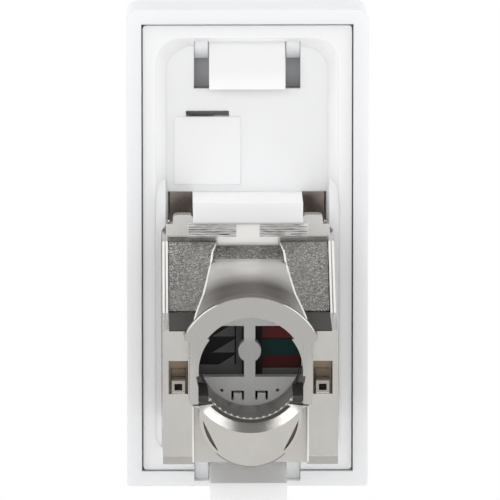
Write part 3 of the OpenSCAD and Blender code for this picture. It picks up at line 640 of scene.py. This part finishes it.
@dataclass(frozen=True)
class FlagCells(Label):
    """Dark flags that narrow towards the centre bar, on grey cells."""

    pale: Colour = (0.2, 0.2, 0.205)
    deep: Colour = (0.014, 0.012, 0.013)
    top: float = -4.4 * MM
    pitch: float = 1.49 * MM
    last: float = -8.5 * MM
    column_x: float = -1.27 * MM
    column_w: float = 0.14 * MM
    flag_run: float = 2.12 * MM
    flag_low: float = 0.13

    def colour(self, ground: Ground) -> Socket:
        """Flags in rows, and a column line.

        A point is dark where its depth in its row, from 0 to 1, is less than the flag's depth
        there, which grows in proportion to the distance from the column line.

        Args:
            ground: what the finish works on.

        Returns:
            The colour socket.
        """
        calc, x, z = ground.tree.math, ground.x, ground.z
        depth = calc("FRACT", calc("DIVIDE", calc("SUBTRACT", self.top, z), self.pitch))
        reach = calc("DIVIDE", calc("SUBTRACT", self.column_x, x), self.flag_run)
        flag_depth = calc("ADD", calc("MULTIPLY", reach, 1 - self.flag_low), self.flag_low)
        flag = calc("MULTIPLY", calc("LESS_THAN", depth, flag_depth),
                    calc("LESS_THAN", x, self.column_x))
        off = calc("ABSOLUTE", calc("SUBTRACT", x, self.column_x))
        column = calc("LESS_THAN", off, self.column_w / 2)
        dark = calc("MULTIPLY", calc("MAXIMUM", flag, column), calc("GREATER_THAN", z, self.last))
        return ground.tree.blend(dark, self.pale, self.deep)


# Painted shade on the wall seen in the holes beside the latch arm
PAINTED_HOLE_SHADE = (0.3, 0.26, 0.235)
# Painted shade in the saddle's slits
PAINTED_SLIT_SHADE = (0.13, 0.1, 0.08)
# Near white: painted light on the neck in the latch arm's shade, painted highlight on post edges
PAINTED_LIGHT_TONE = (0.95, 0.945, 0.93)
# In order: strip (lighter, painted reflection), neck (near white, painted light in the latch
# arm's shade), middle of the strip (near white, painted reflection of the latch arm), wall in
# the holes beside the latch arm (painted shade), ledges (painted shade, matt), hooks (darker),
# windows and pockets of the hooks (painted shade) and inner edges of the posts (painted
# highlight)
JACK_SHADES = (
    Shade((-1.0, -30.0, 1.3), (9.0, 3.4, 6.0), (0.62, 0.61, 0.59)),
    Shade((-1.0, -6.0, 0.2), (3.0, 3.4, 1.74), PAINTED_LIGHT_TONE, dull=0.25),
    Shade((-1.0, -6.0, 1.6), (5.6, 3.4, 3.0), (0.97, 0.965, 0.95), dull=0.25),
    Shade((-1.0, 3.2, 1.3), (9.0, 7.0, 6.0), PAINTED_HOLE_SHADE, 0.3),
    Shade((4.6, -24.3, -3.6), (7.42, -14.2, -2.9), (0.055, 0.054, 0.053), dull=1.0),
    Shade((5.4, -23.72, -9.3), (7.3, -23.5, -7.6), (0.36, 0.335, 0.31)),
    Shade((5.0, -23.55, -9.6), (7.4, -17.0, -6.1), (0.26, 0.215, 0.17)),
    Shade((6.1, -23.6, -9.1), (7.0, -22.6, -8.3), (0.05, 0.042, 0.036), dull=0.8),
    Shade((4.9, -24.6, -18.4), (5.3, -23.3, -10.5), PAINTED_LIGHT_TONE, dull=0.7),
)
# Ledges beside the trough (painted shade, matt), two parts of each slit (painted shade),
# chamfer inside the rim (painted shade, mostly matt, as dark as the shaded trough) and
# line of its round
SADDLE_SHADES = (
    Shade((3.0, -24.4, -10.16), (6.0, -17.0, -7.0), (0.1, 0.098, 0.095), dull=1.0),
    Shade((2.8, -25.5, -14.5), (4.4, -24.9, -11.9), PAINTED_SLIT_SHADE),
    Shade((3.65, -25.5, -12.0), (4.4, -24.9, -11.45), PAINTED_SLIT_SHADE),
    RingShade((-1.0, -25.6, -13.0), (9.0, -24.2, -10.3), (0.09, 0.08, 0.07), 0.04, 0.8,
              centre_z=-6.95, inner_r=4.4, outer_r=4.98),
    RingShade((-1.0, -26.2, -18.0), (9.0, -25.3, -14.5), (0.3, 0.28, 0.26), 0.06,
              centre_z=-11.3, inner_r=4.38, outer_r=4.56),
)
# Upper part of the wire manager, painted lighter where more light reaches it: painted light
GREY_SHADES = (Shade((-1.0, -30.0, -5.9), (9.0, 0.0, -2.0), (0.97, 0.97, 0.965), 0.8),)
# Leaning walls of the recess, painted lighter against the shade there (painted light), and
# the slots beside the upper tongue with their deeper part (painted shade)
WHITE_SHADES = (
    Shade((-1.0, 0.3, -20.9), (9.5, 2.1, 20.9), (0.985, 0.985, 0.988), 0.1),
    Shade((2.2, 2.3, 11.0), (6.4, 7.0, 19.7), (0.55, 0.54, 0.53), 1.2),
    Shade((3.0, 2.3, 11.0), (5.6, 7.0, 17.6), (0.3, 0.285, 0.275), 0.25),
)
# Ribbed strip: drawn-out grain, darker along level lines that are painted shade in the grooves
RIB_GRAIN_AND_GROOVE_SHADE = Shade((1.09, -4.2, 1.78), (5.55, -3.6, 2.95), (0.13, 0.128, 0.124), 0.03)
PLATING = ((0.54, 0.525, 0.5), (0.49, 0.475, 0.45), 0.18, 0.28, 3000.0, 0.002 * MM)

FINISHES = {
    Slot.WHITE: Plastic("white_satin_plastic", (0.935, 0.94, 0.948), (0.92, 0.925, 0.936),
                        0.34, 0.44, scatter=0.5, scatter_reach=1.2 * MM, shades=WHITE_SHADES),
    Slot.PLATED: ShadedMetal("jack_plating", *PLATING, shades=JACK_SHADES, grain_and_groove_shade=RIB_GRAIN_AND_GROOVE_SHADE),
    Slot.CAST: BlastedCasting("blasted_casting", (0.43, 0.42, 0.402), (0.395, 0.385, 0.37),
                              0.22, 0.34, 9000.0, 0.035 * MM),
    Slot.GREY: Plastic("grey_plastic_skin", (0.86, 0.86, 0.855), (0.8, 0.8, 0.795), 0.35, 0.45,
                       shades=GREY_SHADES),
    Slot.DARK: Plastic("dark_plastic_skin", (0.03, 0.03, 0.031), (0.022, 0.022, 0.023),
                       0.4, 0.55),
    Slot.LABEL_DARK: FlagCells("flag_label"),
    Slot.LABEL_COLOUR: ColourBands("colour_label"),
    Slot.BOARD: Plastic("board_lacquer", (0.02, 0.13, 0.05), (0.015, 0.1, 0.04), 0.25, 0.35),
    Slot.STEEL: Metal("rolled_steel", (0.6, 0.6, 0.59), (0.5, 0.5, 0.49), 0.2, 0.3, 4000.0,
                      0.002 * MM),
    Slot.GOLD: Metal("gold_plating", (0.85, 0.62, 0.27), (0.75, 0.52, 0.2), 0.12, 0.2, 4000.0,
                     0.001 * MM),
}
NODE_FINISHES = {
    "bezel": Plastic("frame_satin_plastic", (0.885, 0.891, 0.902), (0.87, 0.876, 0.89),
                     0.36, 0.46, scatter=0.4, scatter_reach=1.0 * MM),
    "cable_saddle": ShadedMetal("saddle_plating", *PLATING, shades=SADDLE_SHADES),
}
LIP_FINISH = Plastic("lip_satin_plastic", (0.955, 0.96, 0.968), (0.94, 0.945, 0.956), 0.4, 0.5)
# Darker copy of the plating for the trough's lining: painted shade inside the trough
TROUGH_FINISH = Metal("trough_plating", (0.36, 0.352, 0.345), (0.31, 0.303, 0.297), 0.3, 0.42,
                      2500.0, 0.002 * MM)
# Much paler than the arch's casting: painted light on the hood skin
HOOD_FINISH = HoodCasting("smooth_casting", (0.86, 0.845, 0.82), (0.8, 0.785, 0.76), 0.4, 0.48,
                          3500.0, 0.002 * MM)
# Painted highlight: near-white, almost non-metallic finish of the beads, rims and tooth tips
BEAD_FINISH = Metal("painted_highlight_edge", (0.97, 0.96, 0.94), (0.93, 0.92, 0.9), 0.3, 0.4, 3500.0,
                    0.001 * MM, metallic=0.1)


@dataclass(frozen=True)
class Lamp:
    """A soft panel that faces the module, in metres and watts."""

    name: str
    place: Point
    size: Pair
    power: float

    def build(self) -> None:
        """Place the lamp."""
        data = bpy.data.lights.new(self.name, "AREA")
        data.shape = "RECTANGLE"
        data.size, data.size_y = self.size
        data.energy = self.power
        lamp = bpy.data.objects.new(self.name, data)
        lamp.location = self.place
        lamp.rotation_euler = (-Vector(self.place)).to_track_quat("-Z", "Y").to_euler()
        lamp.visible_camera = False
        bpy.context.scene.collection.objects.link(lamp)


@dataclass
class Studio:
    """Pale floor, soft light and the camera."""

    distance: float = 850 * MM
    azimuth: float = 0.7
    elevation: float = 9.5
    lens: float = 656.7
    sensor: float = 36.0
    clip: Pair = (0.01, 20.0)
    aim_right: float = 0.24 * MM
    aim_up: float = -0.117 * MM
    floor_drop: float = 110 * MM
    floor_r: float = 320 * MM
    floor_fade: Pair = (0.25, 0.95)
    floor_sides: int = 96
    paper: Colour = (0.85, 0.85, 0.85)
    sky: Pair = (0.87, 0.62)
    sky_z: Pair = (0.2, 0.8)
    sky_side: float = 0.35
    side_x: Pair = (0.4, 0.9)
    mirror: Pair = (1.0, 0.35)
    lamps: tuple[Lamp, ...] = (
        Lamp("key_panel", (-0.12, -0.85, 0.3), (0.5, 0.5), 0.75),
        Lamp("low_panel", (0.0, -0.5, -0.6), (0.5, 0.5), 2.6),
        Lamp("left_panel", (-0.48, -0.11, 0.63), (0.13, 0.55), 0.8),
        Lamp("right_panel", (0.48, -0.11, 0.63), (0.13, 0.55), 0.8))

    def build(self) -> None:
        """Make the floor, the light and the camera."""
        self._camera()
        self._world()
        self._floor()
        for lamp in self.lamps:
            lamp.build()

    def _camera(self) -> None:
        """Place the camera at the photograph's angle, aimed a little off the module's centre."""
        turn, tilt = math.radians(self.azimuth), math.radians(self.elevation)
        away = Vector((-math.sin(turn) * math.cos(tilt), -math.cos(turn) * math.cos(tilt),
                       math.sin(tilt)))
        right = Vector((math.cos(turn), -math.sin(turn), 0.0))
        up = right.cross(-away)
        camera = bpy.data.objects.new("camera", bpy.data.cameras.new("camera"))
        bpy.context.scene.collection.objects.link(camera)
        camera.location = right * self.aim_right + up * self.aim_up + away * self.distance
        camera.rotation_euler = (-away).to_track_quat("-Z", "Y").to_euler()
        camera.data.lens = self.lens
        camera.data.sensor_width = self.sensor
        camera.data.clip_start, camera.data.clip_end = self.clip
        bpy.context.scene.camera = camera

    def _world(self) -> None:
        """White for the camera, even light for the module and a surround for its metal.

        The light is brighter from the sides, and the surround dims towards the top.
        """
        world = bpy.data.worlds.new("studio")
        world.use_nodes = True
        world.node_tree.nodes.clear()
        tree = Tree(world.node_tree)
        path = tree.add("LightPath").outputs
        direct = tree.math("MAXIMUM", path["Is Camera Ray"], path["Is Transmission Ray"])
        way = tree.add("SeparateXYZ", {0: tree.add("TexCoord").outputs["Generated"]})
        height = tree.step(way.outputs["Z"], *self.sky_z)
        side = tree.step(tree.math("ABSOLUTE", way.outputs["X"]), *self.side_x)
        glow = tree.math("ADD", tree.ramp(height, *self.sky), tree.ramp(side, 0.0, self.sky_side))
        strengths = (glow, tree.ramp(height, *self.mirror), 1.0)
        sky, mirror, white = (tree.add("Background", {"Color": (1, 1, 1, 1), "Strength": strength})
                              for strength in strengths)
        light = tree.add("MixShader", {0: path["Is Glossy Ray"], 1: sky.outputs[0],
                                       2: mirror.outputs[0]})
        mix = tree.add("MixShader", {0: direct, 1: light.outputs[0], 2: white.outputs[0]})
        tree.add("OutputWorld", {"Surface": mix.outputs[0]})
        bpy.context.scene.world = world

    def _floor(self) -> None:
        """Pale round floor under the module, which fades into the white surround at its rim."""
        low = CAD_BOUNDS[0][2] - self.floor_drop
        turn = np.linspace(0.0, 2 * np.pi, self.floor_sides, endpoint=False)
        ring = np.stack([np.cos(turn), np.sin(turn), np.zeros_like(turn)], axis=1) * self.floor_r
        mesh = bpy.data.meshes.new("floor")
        mesh.from_pydata((ring + (0.0, 0.0, low)).tolist(), [], [list(range(len(turn)))])
        floor = bpy.data.objects.new("floor", mesh)
        bpy.context.scene.collection.objects.link(floor)
        material = bpy.data.materials.new("floor_paper")
        material.use_nodes = True
        material.node_tree.nodes.clear()
        tree = Tree(material.node_tree)
        reach = tree.length(tree.add("TexCoord").outputs["Object"], (1, 1, 0))
        fade = tree.step(reach, *(share * self.floor_r for share in self.floor_fade))
        paper = tree.add("BsdfDiffuse", {"Color": (*self.paper, 1)})
        clear = tree.add("BsdfTransparent")
        mix = tree.add("MixShader", {0: fade, 1: paper.outputs[0], 2: clear.outputs[0]})
        tree.add("OutputMaterial", {"Surface": mix.outputs[0]})
        mesh.materials.append(material)


def join_axes(x: np.ndarray | float, y: np.ndarray | float, z: np.ndarray) -> np.ndarray:
    """Points from their X, Y and Z, which are spread to one shape."""
    return np.stack(np.broadcast_arrays(x, y, z), axis=-1)


def place_sheet(name: str, points: np.ndarray, ring: bool = False) -> Object:
    """Join a grid of points with four-sided faces.

    Args:
        name: name of the piece.
        points: array of rows, columns and X, Y, Z in millimetres.
        ring: join the last column to the first and close the first and last rows.

    Returns:
        The new object.
    """
    rows, columns = points.shape[:2]
    index = np.arange(rows * columns).reshape(rows, columns)
    wide = np.concatenate([index, index[:, :1]], axis=1) if ring else index
    corners = [wide[:-1, :-1], wide[1:, :-1], wide[1:, 1:], wide[:-1, 1:]]
    faces = np.stack(corners, axis=-1).reshape(-1, 4).tolist()
    if ring:
        faces += [index[0].tolist(), index[-1, ::-1].tolist()]
    mesh = bpy.data.meshes.new(name)
    mesh.from_pydata((points * MM).reshape(-1, 3).tolist(), [], faces)
    mesh.polygons.foreach_set("use_smooth", np.ones(len(mesh.polygons), dtype=bool))
    if ring:
        shell = bmesh.new()
        shell.from_mesh(mesh)
        bmesh.ops.recalc_face_normals(shell, faces=shell.faces)
        shell.to_mesh(mesh)
        shell.free()
    piece = bpy.data.objects.new(name, mesh)
    bpy.context.scene.collection.objects.link(piece)
    return piece


def thicken(sheet: Object, wall: float, offset: float = -1.0) -> None:
    """Give a sheet a thickness.

    Args:
        sheet: the sheet.
        wall: its thickness in millimetres.
        offset: -1 to grow behind its face, 0 to both sides.
    """
    modifier = sheet.modifiers.new("wall", "SOLIDIFY")
    modifier.thickness = wall * MM
    modifier.offset = offset


def round_bead(name: str, path: np.ndarray, radius: float, taper: float | None = None,
               sides: int = 16, tip: float = 0.98) -> Object:
    """Round bead along a path.

    At each point of the path stands a circle square to the path. Near the ends its radius grows
    like an ellipse, which makes them round or drawn out, and between them it is the full radius.

    Args:
        name: name of the piece.
        path: array of points in order.
        radius: radius of the bead.
        taper: length of each end, the radius if not given.
        sides: points round the bead.
        tip: limit of the inset, under 1 so that the ends aren't points.

    Returns:
        The new object.
    """
    ahead = np.gradient(path, axis=0)
    ahead /= np.linalg.norm(ahead, axis=1, keepdims=True)
    side = np.cross(ahead, (0.0, 0.0, 1.0))
    side /= np.linalg.norm(side, axis=1, keepdims=True)
    up = np.cross(side, ahead)
    run = np.concatenate([[0.0], np.cumsum(np.linalg.norm(np.diff(path, axis=0), axis=1))])
    inset = np.clip(1 - np.minimum(run, run[-1] - run) / (taper or radius), 0.0, tip)
    size = radius * np.sqrt(1 - inset ** 2)
    turn = np.linspace(0.0, 2 * np.pi, sides, endpoint=False)[None, :, None]
    circle = np.cos(turn) * side[:, None] + np.sin(turn) * up[:, None]
    return place_sheet(name, path[:, None] + size[:, None, None] * circle, ring=True)


def finish_piece(piece: Object, finish: Material, body: Body) -> None:
    """Give a piece its material, let it ride on a body and report it.

    Args:
        piece: the new piece.
        finish: its material.
        body: body that it moves with.
    """
    piece.data.materials.append(finish)
    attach(piece, body.value)
    LOG.info("built %s on %s", piece.name, body.value)


@dataclass
class Hood:
    """Smooth skin over the cover's hood, from the hinge to the arch, with a bead on each side."""

    front: float = 6.18
    land: float = 7.9
    land_out: float = 10.0
    dip: float = 15.0
    rear: float = 24.32
    front_x: float = 3.3
    rear_x: float = 5.1
    front_z: float = 0.05
    dip_z: float = -0.6
    rear_z: float = -0.2
    dip_r: float = 8.0
    rear_r: float = 6.6
    lift: float = 0.03
    softness: float = 0.12
    edge_r: float = 0.2
    front_edge: float = 0.2
    nose: float = 0.25
    skirt: float = 0.9
    wall: float = 0.02
    bead_r: float = 0.13
    bead_taper: float = 2.5
    hinge_back: float = 5.05
    neck_x: float = 2.95
    shoulder_z: float = 1.5
    shoulder_slope: float = 0.548
    rows: int = 120
    columns: int = 81

    def half(self, back: np.ndarray) -> np.ndarray:
        """Half width, which grows in a straight line from the front to the rear."""
        share = (back - self.front) / (self.rear - self.front)
        return self.front_x + (self.rear_x - self.front_x) * share + self.lift

    def top(self, back: np.ndarray) -> np.ndarray:
        """Height of the middle line.

        One straight line falls from the front edge to the dip and another rises from the dip to
        the arch. Half of their sum plus half of the root of their squared difference and a
        squared softness joins them in a soft valley. A level land at the front goes over into
        this line by a smooth step.

        Args:
            back: distances behind the rear rim.

        Returns:
            Heights at these distances.
        """
        fall_share = (self.dip - back) / (self.dip - self.front)
        rise_share = (back - self.dip) / (self.rear - self.dip)
        fall = self.dip_z + (self.front_z - self.dip_z) * fall_share
        rise = self.dip_z + (self.rear_z - self.dip_z) * rise_share
        line = (fall + rise + np.hypot(fall - rise, self.softness)) / 2
        share = np.clip((self.land_out - back) / (self.land_out - self.land), 0.0, 1.0)
        smooth = share ** 2 * (3 - 2 * share)
        return line + smooth * np.maximum(self.front_z - line, 0.0) + self.lift

    def height(self, back: np.ndarray, across: np.ndarray) -> np.ndarray:
        """Height of the skin.

        Across the hood, a flat middle that narrows to nothing at the dip is followed by an arc.
        The arc's radius grows from nothing at the front to that of the dip, and then goes over to
        the radius at the arch.

        Args:
            back: distances behind the rear rim.
            across: distances from the middle.

        Returns:
            Heights at these places.
        """
        share = np.clip((back - self.front) / (self.dip - self.front), 0.0, 1.0)
        later = np.clip((back - self.dip) / (self.rear - self.dip), 0.0, 1.0)
        radius = self.dip_r * share + (self.rear_r - self.dip_r) * later
        over = np.clip(np.abs(across) - (1 - share) * self.front_x, 0.0, None)
        return self.top(back) - radius + np.sqrt(np.maximum(radius ** 2 - over ** 2, 0.0))

    def grid(self) -> np.ndarray:
        """Points of the skin, with rounded sides, a skirt on both and a nose at the front.

        Returns:
            Array of rows, columns and X, Y, Z.
        """
        back = np.linspace(self.front, self.rear, self.rows)[:, None]
        half = self.half(back)
        across = half * np.sin(np.linspace(-np.pi / 2, np.pi / 2, self.columns))[None]
        share = np.clip((back - self.front) / (self.land - self.front), self.front_edge, 1.0)
        edge_r = self.edge_r * share
        edge = np.clip(np.abs(across) - half + edge_r, 0.0, edge_r)
        level = self.height(back, across) - edge_r + np.sqrt(edge_r ** 2 - edge ** 2)
        wide = np.concatenate([across[:, :1], across, across[:, -1:]], axis=1)
        skirt = level[:, :1] - self.skirt
        level = np.concatenate([skirt, level, skirt], axis=1)
        points = join_axes(wide, -back, level)
        nose = points[:1] - (0.0, 0.0, self.nose)
        return np.concatenate([nose, points])

    def build(self, skin_finish: Material, bead_finish: Material) -> None:
        """Make the skin and its two beads, which begin at the neck before the skin.

        Args:
            skin_finish: material of the skin.
            bead_finish: material of the beads.
        """
        skin = place_sheet("hood_skin", self.grid())
        thicken(skin, self.wall)
        finish_piece(skin, skin_finish, Body.COVER)
        back = np.linspace(self.hinge_back, self.rear, self.rows)
        corner = self.front_x + self.lift - self.neck_x
        inner = self.neck_x + corner * (back - self.hinge_back) / (self.front - self.hinge_back)
        half = np.where(back < self.front, inner, self.half(back))
        shoulder = self.shoulder_z - self.shoulder_slope * (back - self.hinge_back)
        level = np.maximum(self.height(back, half), shoulder) - self.edge_r / 2
        for word, side in SIDES:
            path = join_axes(side * half, -back, level)
            bead = round_bead(f"hood_bead_{word}", path, self.bead_r, self.bead_taper)
            finish_piece(bead, bead_finish, Body.COVER)


@dataclass
class TrayRims:
    """Two rounded edges along the sloping top of each side wall of the tray."""

    inner_x: float = 7.53
    outer_x: float = 7.84
    radius: float = 0.11
    sink: float = 0.02
    line_back: tuple[float, ...] = (5.3, 14.1, 15.2)
    line_z: tuple[float, ...] = (1.64, -3.15, -3.6)
    rows: int = 90

    def build(self, finish: Material) -> None:
        """Make two rims on each side.

        The path follows the wall's top line, sunk by a part of the rim's radius.

        Args:
            finish: material of the rims.
        """
        back = np.linspace(self.line_back[0], self.line_back[-1], self.rows)
        level = np.interp(back, self.line_back, self.line_z) - self.sink
        places = {"left_outer": -self.outer_x, "left_inner": -self.inner_x,
                  "right_inner": self.inner_x, "right_outer": self.outer_x}
        for word, x in places.items():
            path = join_axes(x, -back, level)
            rim = round_bead(f"tray_rim_{word}", path, self.radius)
            finish_piece(rim, finish, Body.SOCKET)


@dataclass
class RecessLips:
    """Soft lips beside the jack, webs beside the lower latch and ramps beside the upper one."""

    outer_x: float = 8.62
    inner_x: Pair = (7.99, 7.6)
    inner_z: Pair = (1.7, 2.1)
    rim_y: float = 0.22
    fall: float = 0.08
    low_z: float = -19.4
    high_z: float = 8.0
    end: float = 5.0
    end_fall: float = 2.3
    wall: float = 0.2
    web_x: Pair = (4.92, 3.62)
    web_z: Pair = (-22.0, -18.8)
    web_y: float = 0.9
    ramp_z: Pair = (17.5, 19.28)
    ramp_y: Pair = (2.22, 3.3)
    rows: int = 80
    columns: int = 16

    def build(self, finish: Material) -> None:
        """Make one lip, one flat web and one ramp on each side.

        The lip falls by a cosine from the rim to the jack, and falls further towards its upper
        end by another cosine, until it sinks under the recess's leaning wall. Above the tray it
        is wider. The ramp falls into the slot beside the upper tongue by a quarter of a sine.

        Args:
            finish: material of all these plates.
        """
        level = np.linspace(self.low_z, self.high_z, self.rows)[:, None]
        across = np.linspace(0.0, 1.0, self.columns)[None]
        inside = np.clip((self.high_z - level) / self.end, 0.0, 1.0)
        sunk = self.end_fall * (1 + np.cos(np.pi * inside)) / 2
        depth = self.rim_y + self.fall * (1 - np.cos(np.pi * across)) / 2 + sunk * across
        inner = np.interp(level, self.inner_z, self.inner_x)
        reach = self.outer_x + (inner - self.outer_x) * across
        self._plates("recess_lip", reach, depth, level, finish)
        reach = np.linspace(*self.web_x, self.columns)[None]
        level = np.linspace(*self.web_z, self.rows)[:, None]
        self._plates("latch_web", reach, self.web_y, level, finish)
        share = np.linspace(0.0, 1.0, self.rows)[:, None]
        level = self.ramp_z[0] + (self.ramp_z[1] - self.ramp_z[0]) * share
        drop = (self.ramp_y[0] - self.ramp_y[1]) * np.sin(np.pi / 2 * share)
        self._plates("slot_ramp", reach, self.ramp_y[1] + drop, level, finish)

    def _plates(self, name: str, reach: np.ndarray, depth: np.ndarray | float, level: np.ndarray,
                finish: Material) -> None:
        """Make a thin plate on each side from a grid that runs inwards.

        Args:
            name: start of the plates' names.
            reach: distances from the middle.
            depth: places along Y.
            level: heights.
            finish: material of the plates.
        """
        for word, side in SIDES:
            points = join_axes(side * reach, depth, level)
            plate = place_sheet(f"{name}_{word}", points[:, ::side])
            thicken(plate, self.wall)
            finish_piece(plate, finish, Body.SOCKET)


@dataclass
class ArchRims:
    """Rounded outer edges of the arch on its left and right."""

    centre_z: float = -6.95
    path_r: float = 6.7
    back: float = 25.8
    radius: float = 0.18
    taper: float = 2.0
    start: float = 22.0
    end: float = 62.0
    rows: int = 80

    def build(self, finish: Material) -> None:
        """Make one rim on each side, along an arc about the cable's axis.

        Args:
            finish: material of the rims.
        """
        turn = np.radians(np.linspace(self.start, self.end, self.rows))
        level = self.centre_z + self.path_r * np.cos(turn)
        for word, side in SIDES:
            path = join_axes(side * self.path_r * np.sin(turn), -self.back, level)
            rim = round_bead(f"arch_rim_{word}", path, self.radius, self.taper)
            finish_piece(rim, finish, Body.COVER)


@dataclass
class ArchLining:
    """Rounded inner edges of the arch, where it goes over into its legs."""

    axis_z: float = -6.95
    inner_r: float = 4.73
    outer_r: float = 5.75
    leg_x: float = 5.45
    front: float = 24.4
    rear: float = 25.97
    start: float = 52.0
    end: float = 95.0
    rows: int = 60

    def build(self, finish: Material) -> None:
        """Make one lining on each side.

        At each angle about the cable's axis stands a rectangle, from the inner to the outer
        radius and from the front to the rear. The outer radius is less where it would leave the
        leg.

        Args:
            finish: material of the lining.
        """
        turn = np.radians(np.linspace(self.start, self.end, self.rows))[:, None]
        outer = np.minimum(self.outer_r, self.leg_x / np.sin(turn))
        inner = np.full_like(outer, self.inner_r)
        reach = np.concatenate([inner, inner, outer, outer], axis=1)
        back = -np.array([self.front, self.rear, self.rear, self.front])[None]
        level = self.axis_z + reach * np.cos(turn)
        for word, side in SIDES:
            points = join_axes(side * reach * np.sin(turn), back, level)
            lining = place_sheet(f"arch_lining_{word}", points, ring=True)
            flat = np.zeros(len(lining.data.polygons), dtype=bool)
            lining.data.polygons.foreach_set("use_smooth", flat)
            finish_piece(lining, finish, Body.COVER)


@dataclass
class Trough:
    """Smooth lining of the saddle's trough and the tips of its grip teeth, with a painted
    highlight.
    """

    axis_z: float = -6.95
    radius: float = 4.68
    half_turn: float = 56.5
    front: float = 17.45
    rear: float = 24.45
    wall: float = 0.01
    rows: int = 15
    columns: int = 97
    tooth_back: float = 24.1
    tooth_step: float = 7.4
    teeth: int = 15
    tip_r: float = 0.17
    tip_rise: float = 0.12
    tip_pole: float = 0.02
    tip_rows: int = 13
    tip_columns: int = 20

    def build(self, lining_finish: Material, tip_finish: Material) -> None:
        """Make the lining and the tips.

        The lining is an arc about the cable's axis, drawn along it. A tip is a ball that stands
        partly out of the lining, with the angles round it and down it as parameters.

        Args:
            lining_finish: material of the lining.
            tip_finish: material of the tips.
        """
        turn = np.radians(np.linspace(-self.half_turn, self.half_turn, self.columns))[None]
        back = np.linspace(self.front, self.rear, self.rows)[:, None]
        level = self.axis_z - self.radius * np.cos(turn)
        points = join_axes(self.radius * np.sin(turn), -back, level)
        lining = place_sheet("trough_lining", points)
        thicken(lining, self.wall, 0.0)
        finish_piece(lining, lining_finish, Body.SOCKET)
        down = np.linspace(self.tip_pole, np.pi - self.tip_pole, self.tip_rows)[:, None]
        around = np.linspace(0.0, 2 * np.pi, self.tip_columns, endpoint=False)[None]
        ball = join_axes(np.sin(down) * np.cos(around), np.sin(down) * np.sin(around), np.cos(down))
        reach = self.radius - self.tip_rise + self.tip_r
        for number in range(self.teeth):
            angle = math.radians(self.tooth_step * (number - (self.teeth - 1) / 2))
            spot = (reach * math.sin(angle), -self.tooth_back,
                    self.axis_z - reach * math.cos(angle))
            tip = place_sheet(f"grip_tip_{number + 1}", ball * self.tip_r + spot, ring=True)
            finish_piece(tip, tip_finish, Body.SOCKET)


def main() -> None:
    """Dress every node, add the finer pieces and set up the studio."""
    logging.basicConfig(level=logging.INFO, format="%(name)s: %(message)s")
    bpy.context.scene.view_settings.view_transform = "Standard"
    effects = Effects()
    materials = {slot.value: finish.make(effects) for slot, finish in FINISHES.items()}
    slots = {part["node"]: part["material_slot"] for part in frame["record"]["subparts"]}
    own = {name: finish.make(effects) for name, finish in NODE_FINISHES.items()}
    for name, node in frame["nodes"].items():
        node.data.materials.clear()
        node.data.materials.append(own.get(name, materials[slots[name]]))
        LOG.info("dressed %s", name)
    # Finish of painted highlight for the beads, rims and tooth tips
    bright = BEAD_FINISH.make(effects)
    Hood().build(HOOD_FINISH.make(effects), bright)
    TrayRims().build(bright)
    RecessLips().build(LIP_FINISH.make(effects))
    ArchRims().build(bright)
    ArchLining().build(materials[Slot.CAST.value])
    Trough().build(TROUGH_FINISH.make(effects), bright)
    Studio().build()


if __name__ == "__main__":
    main()
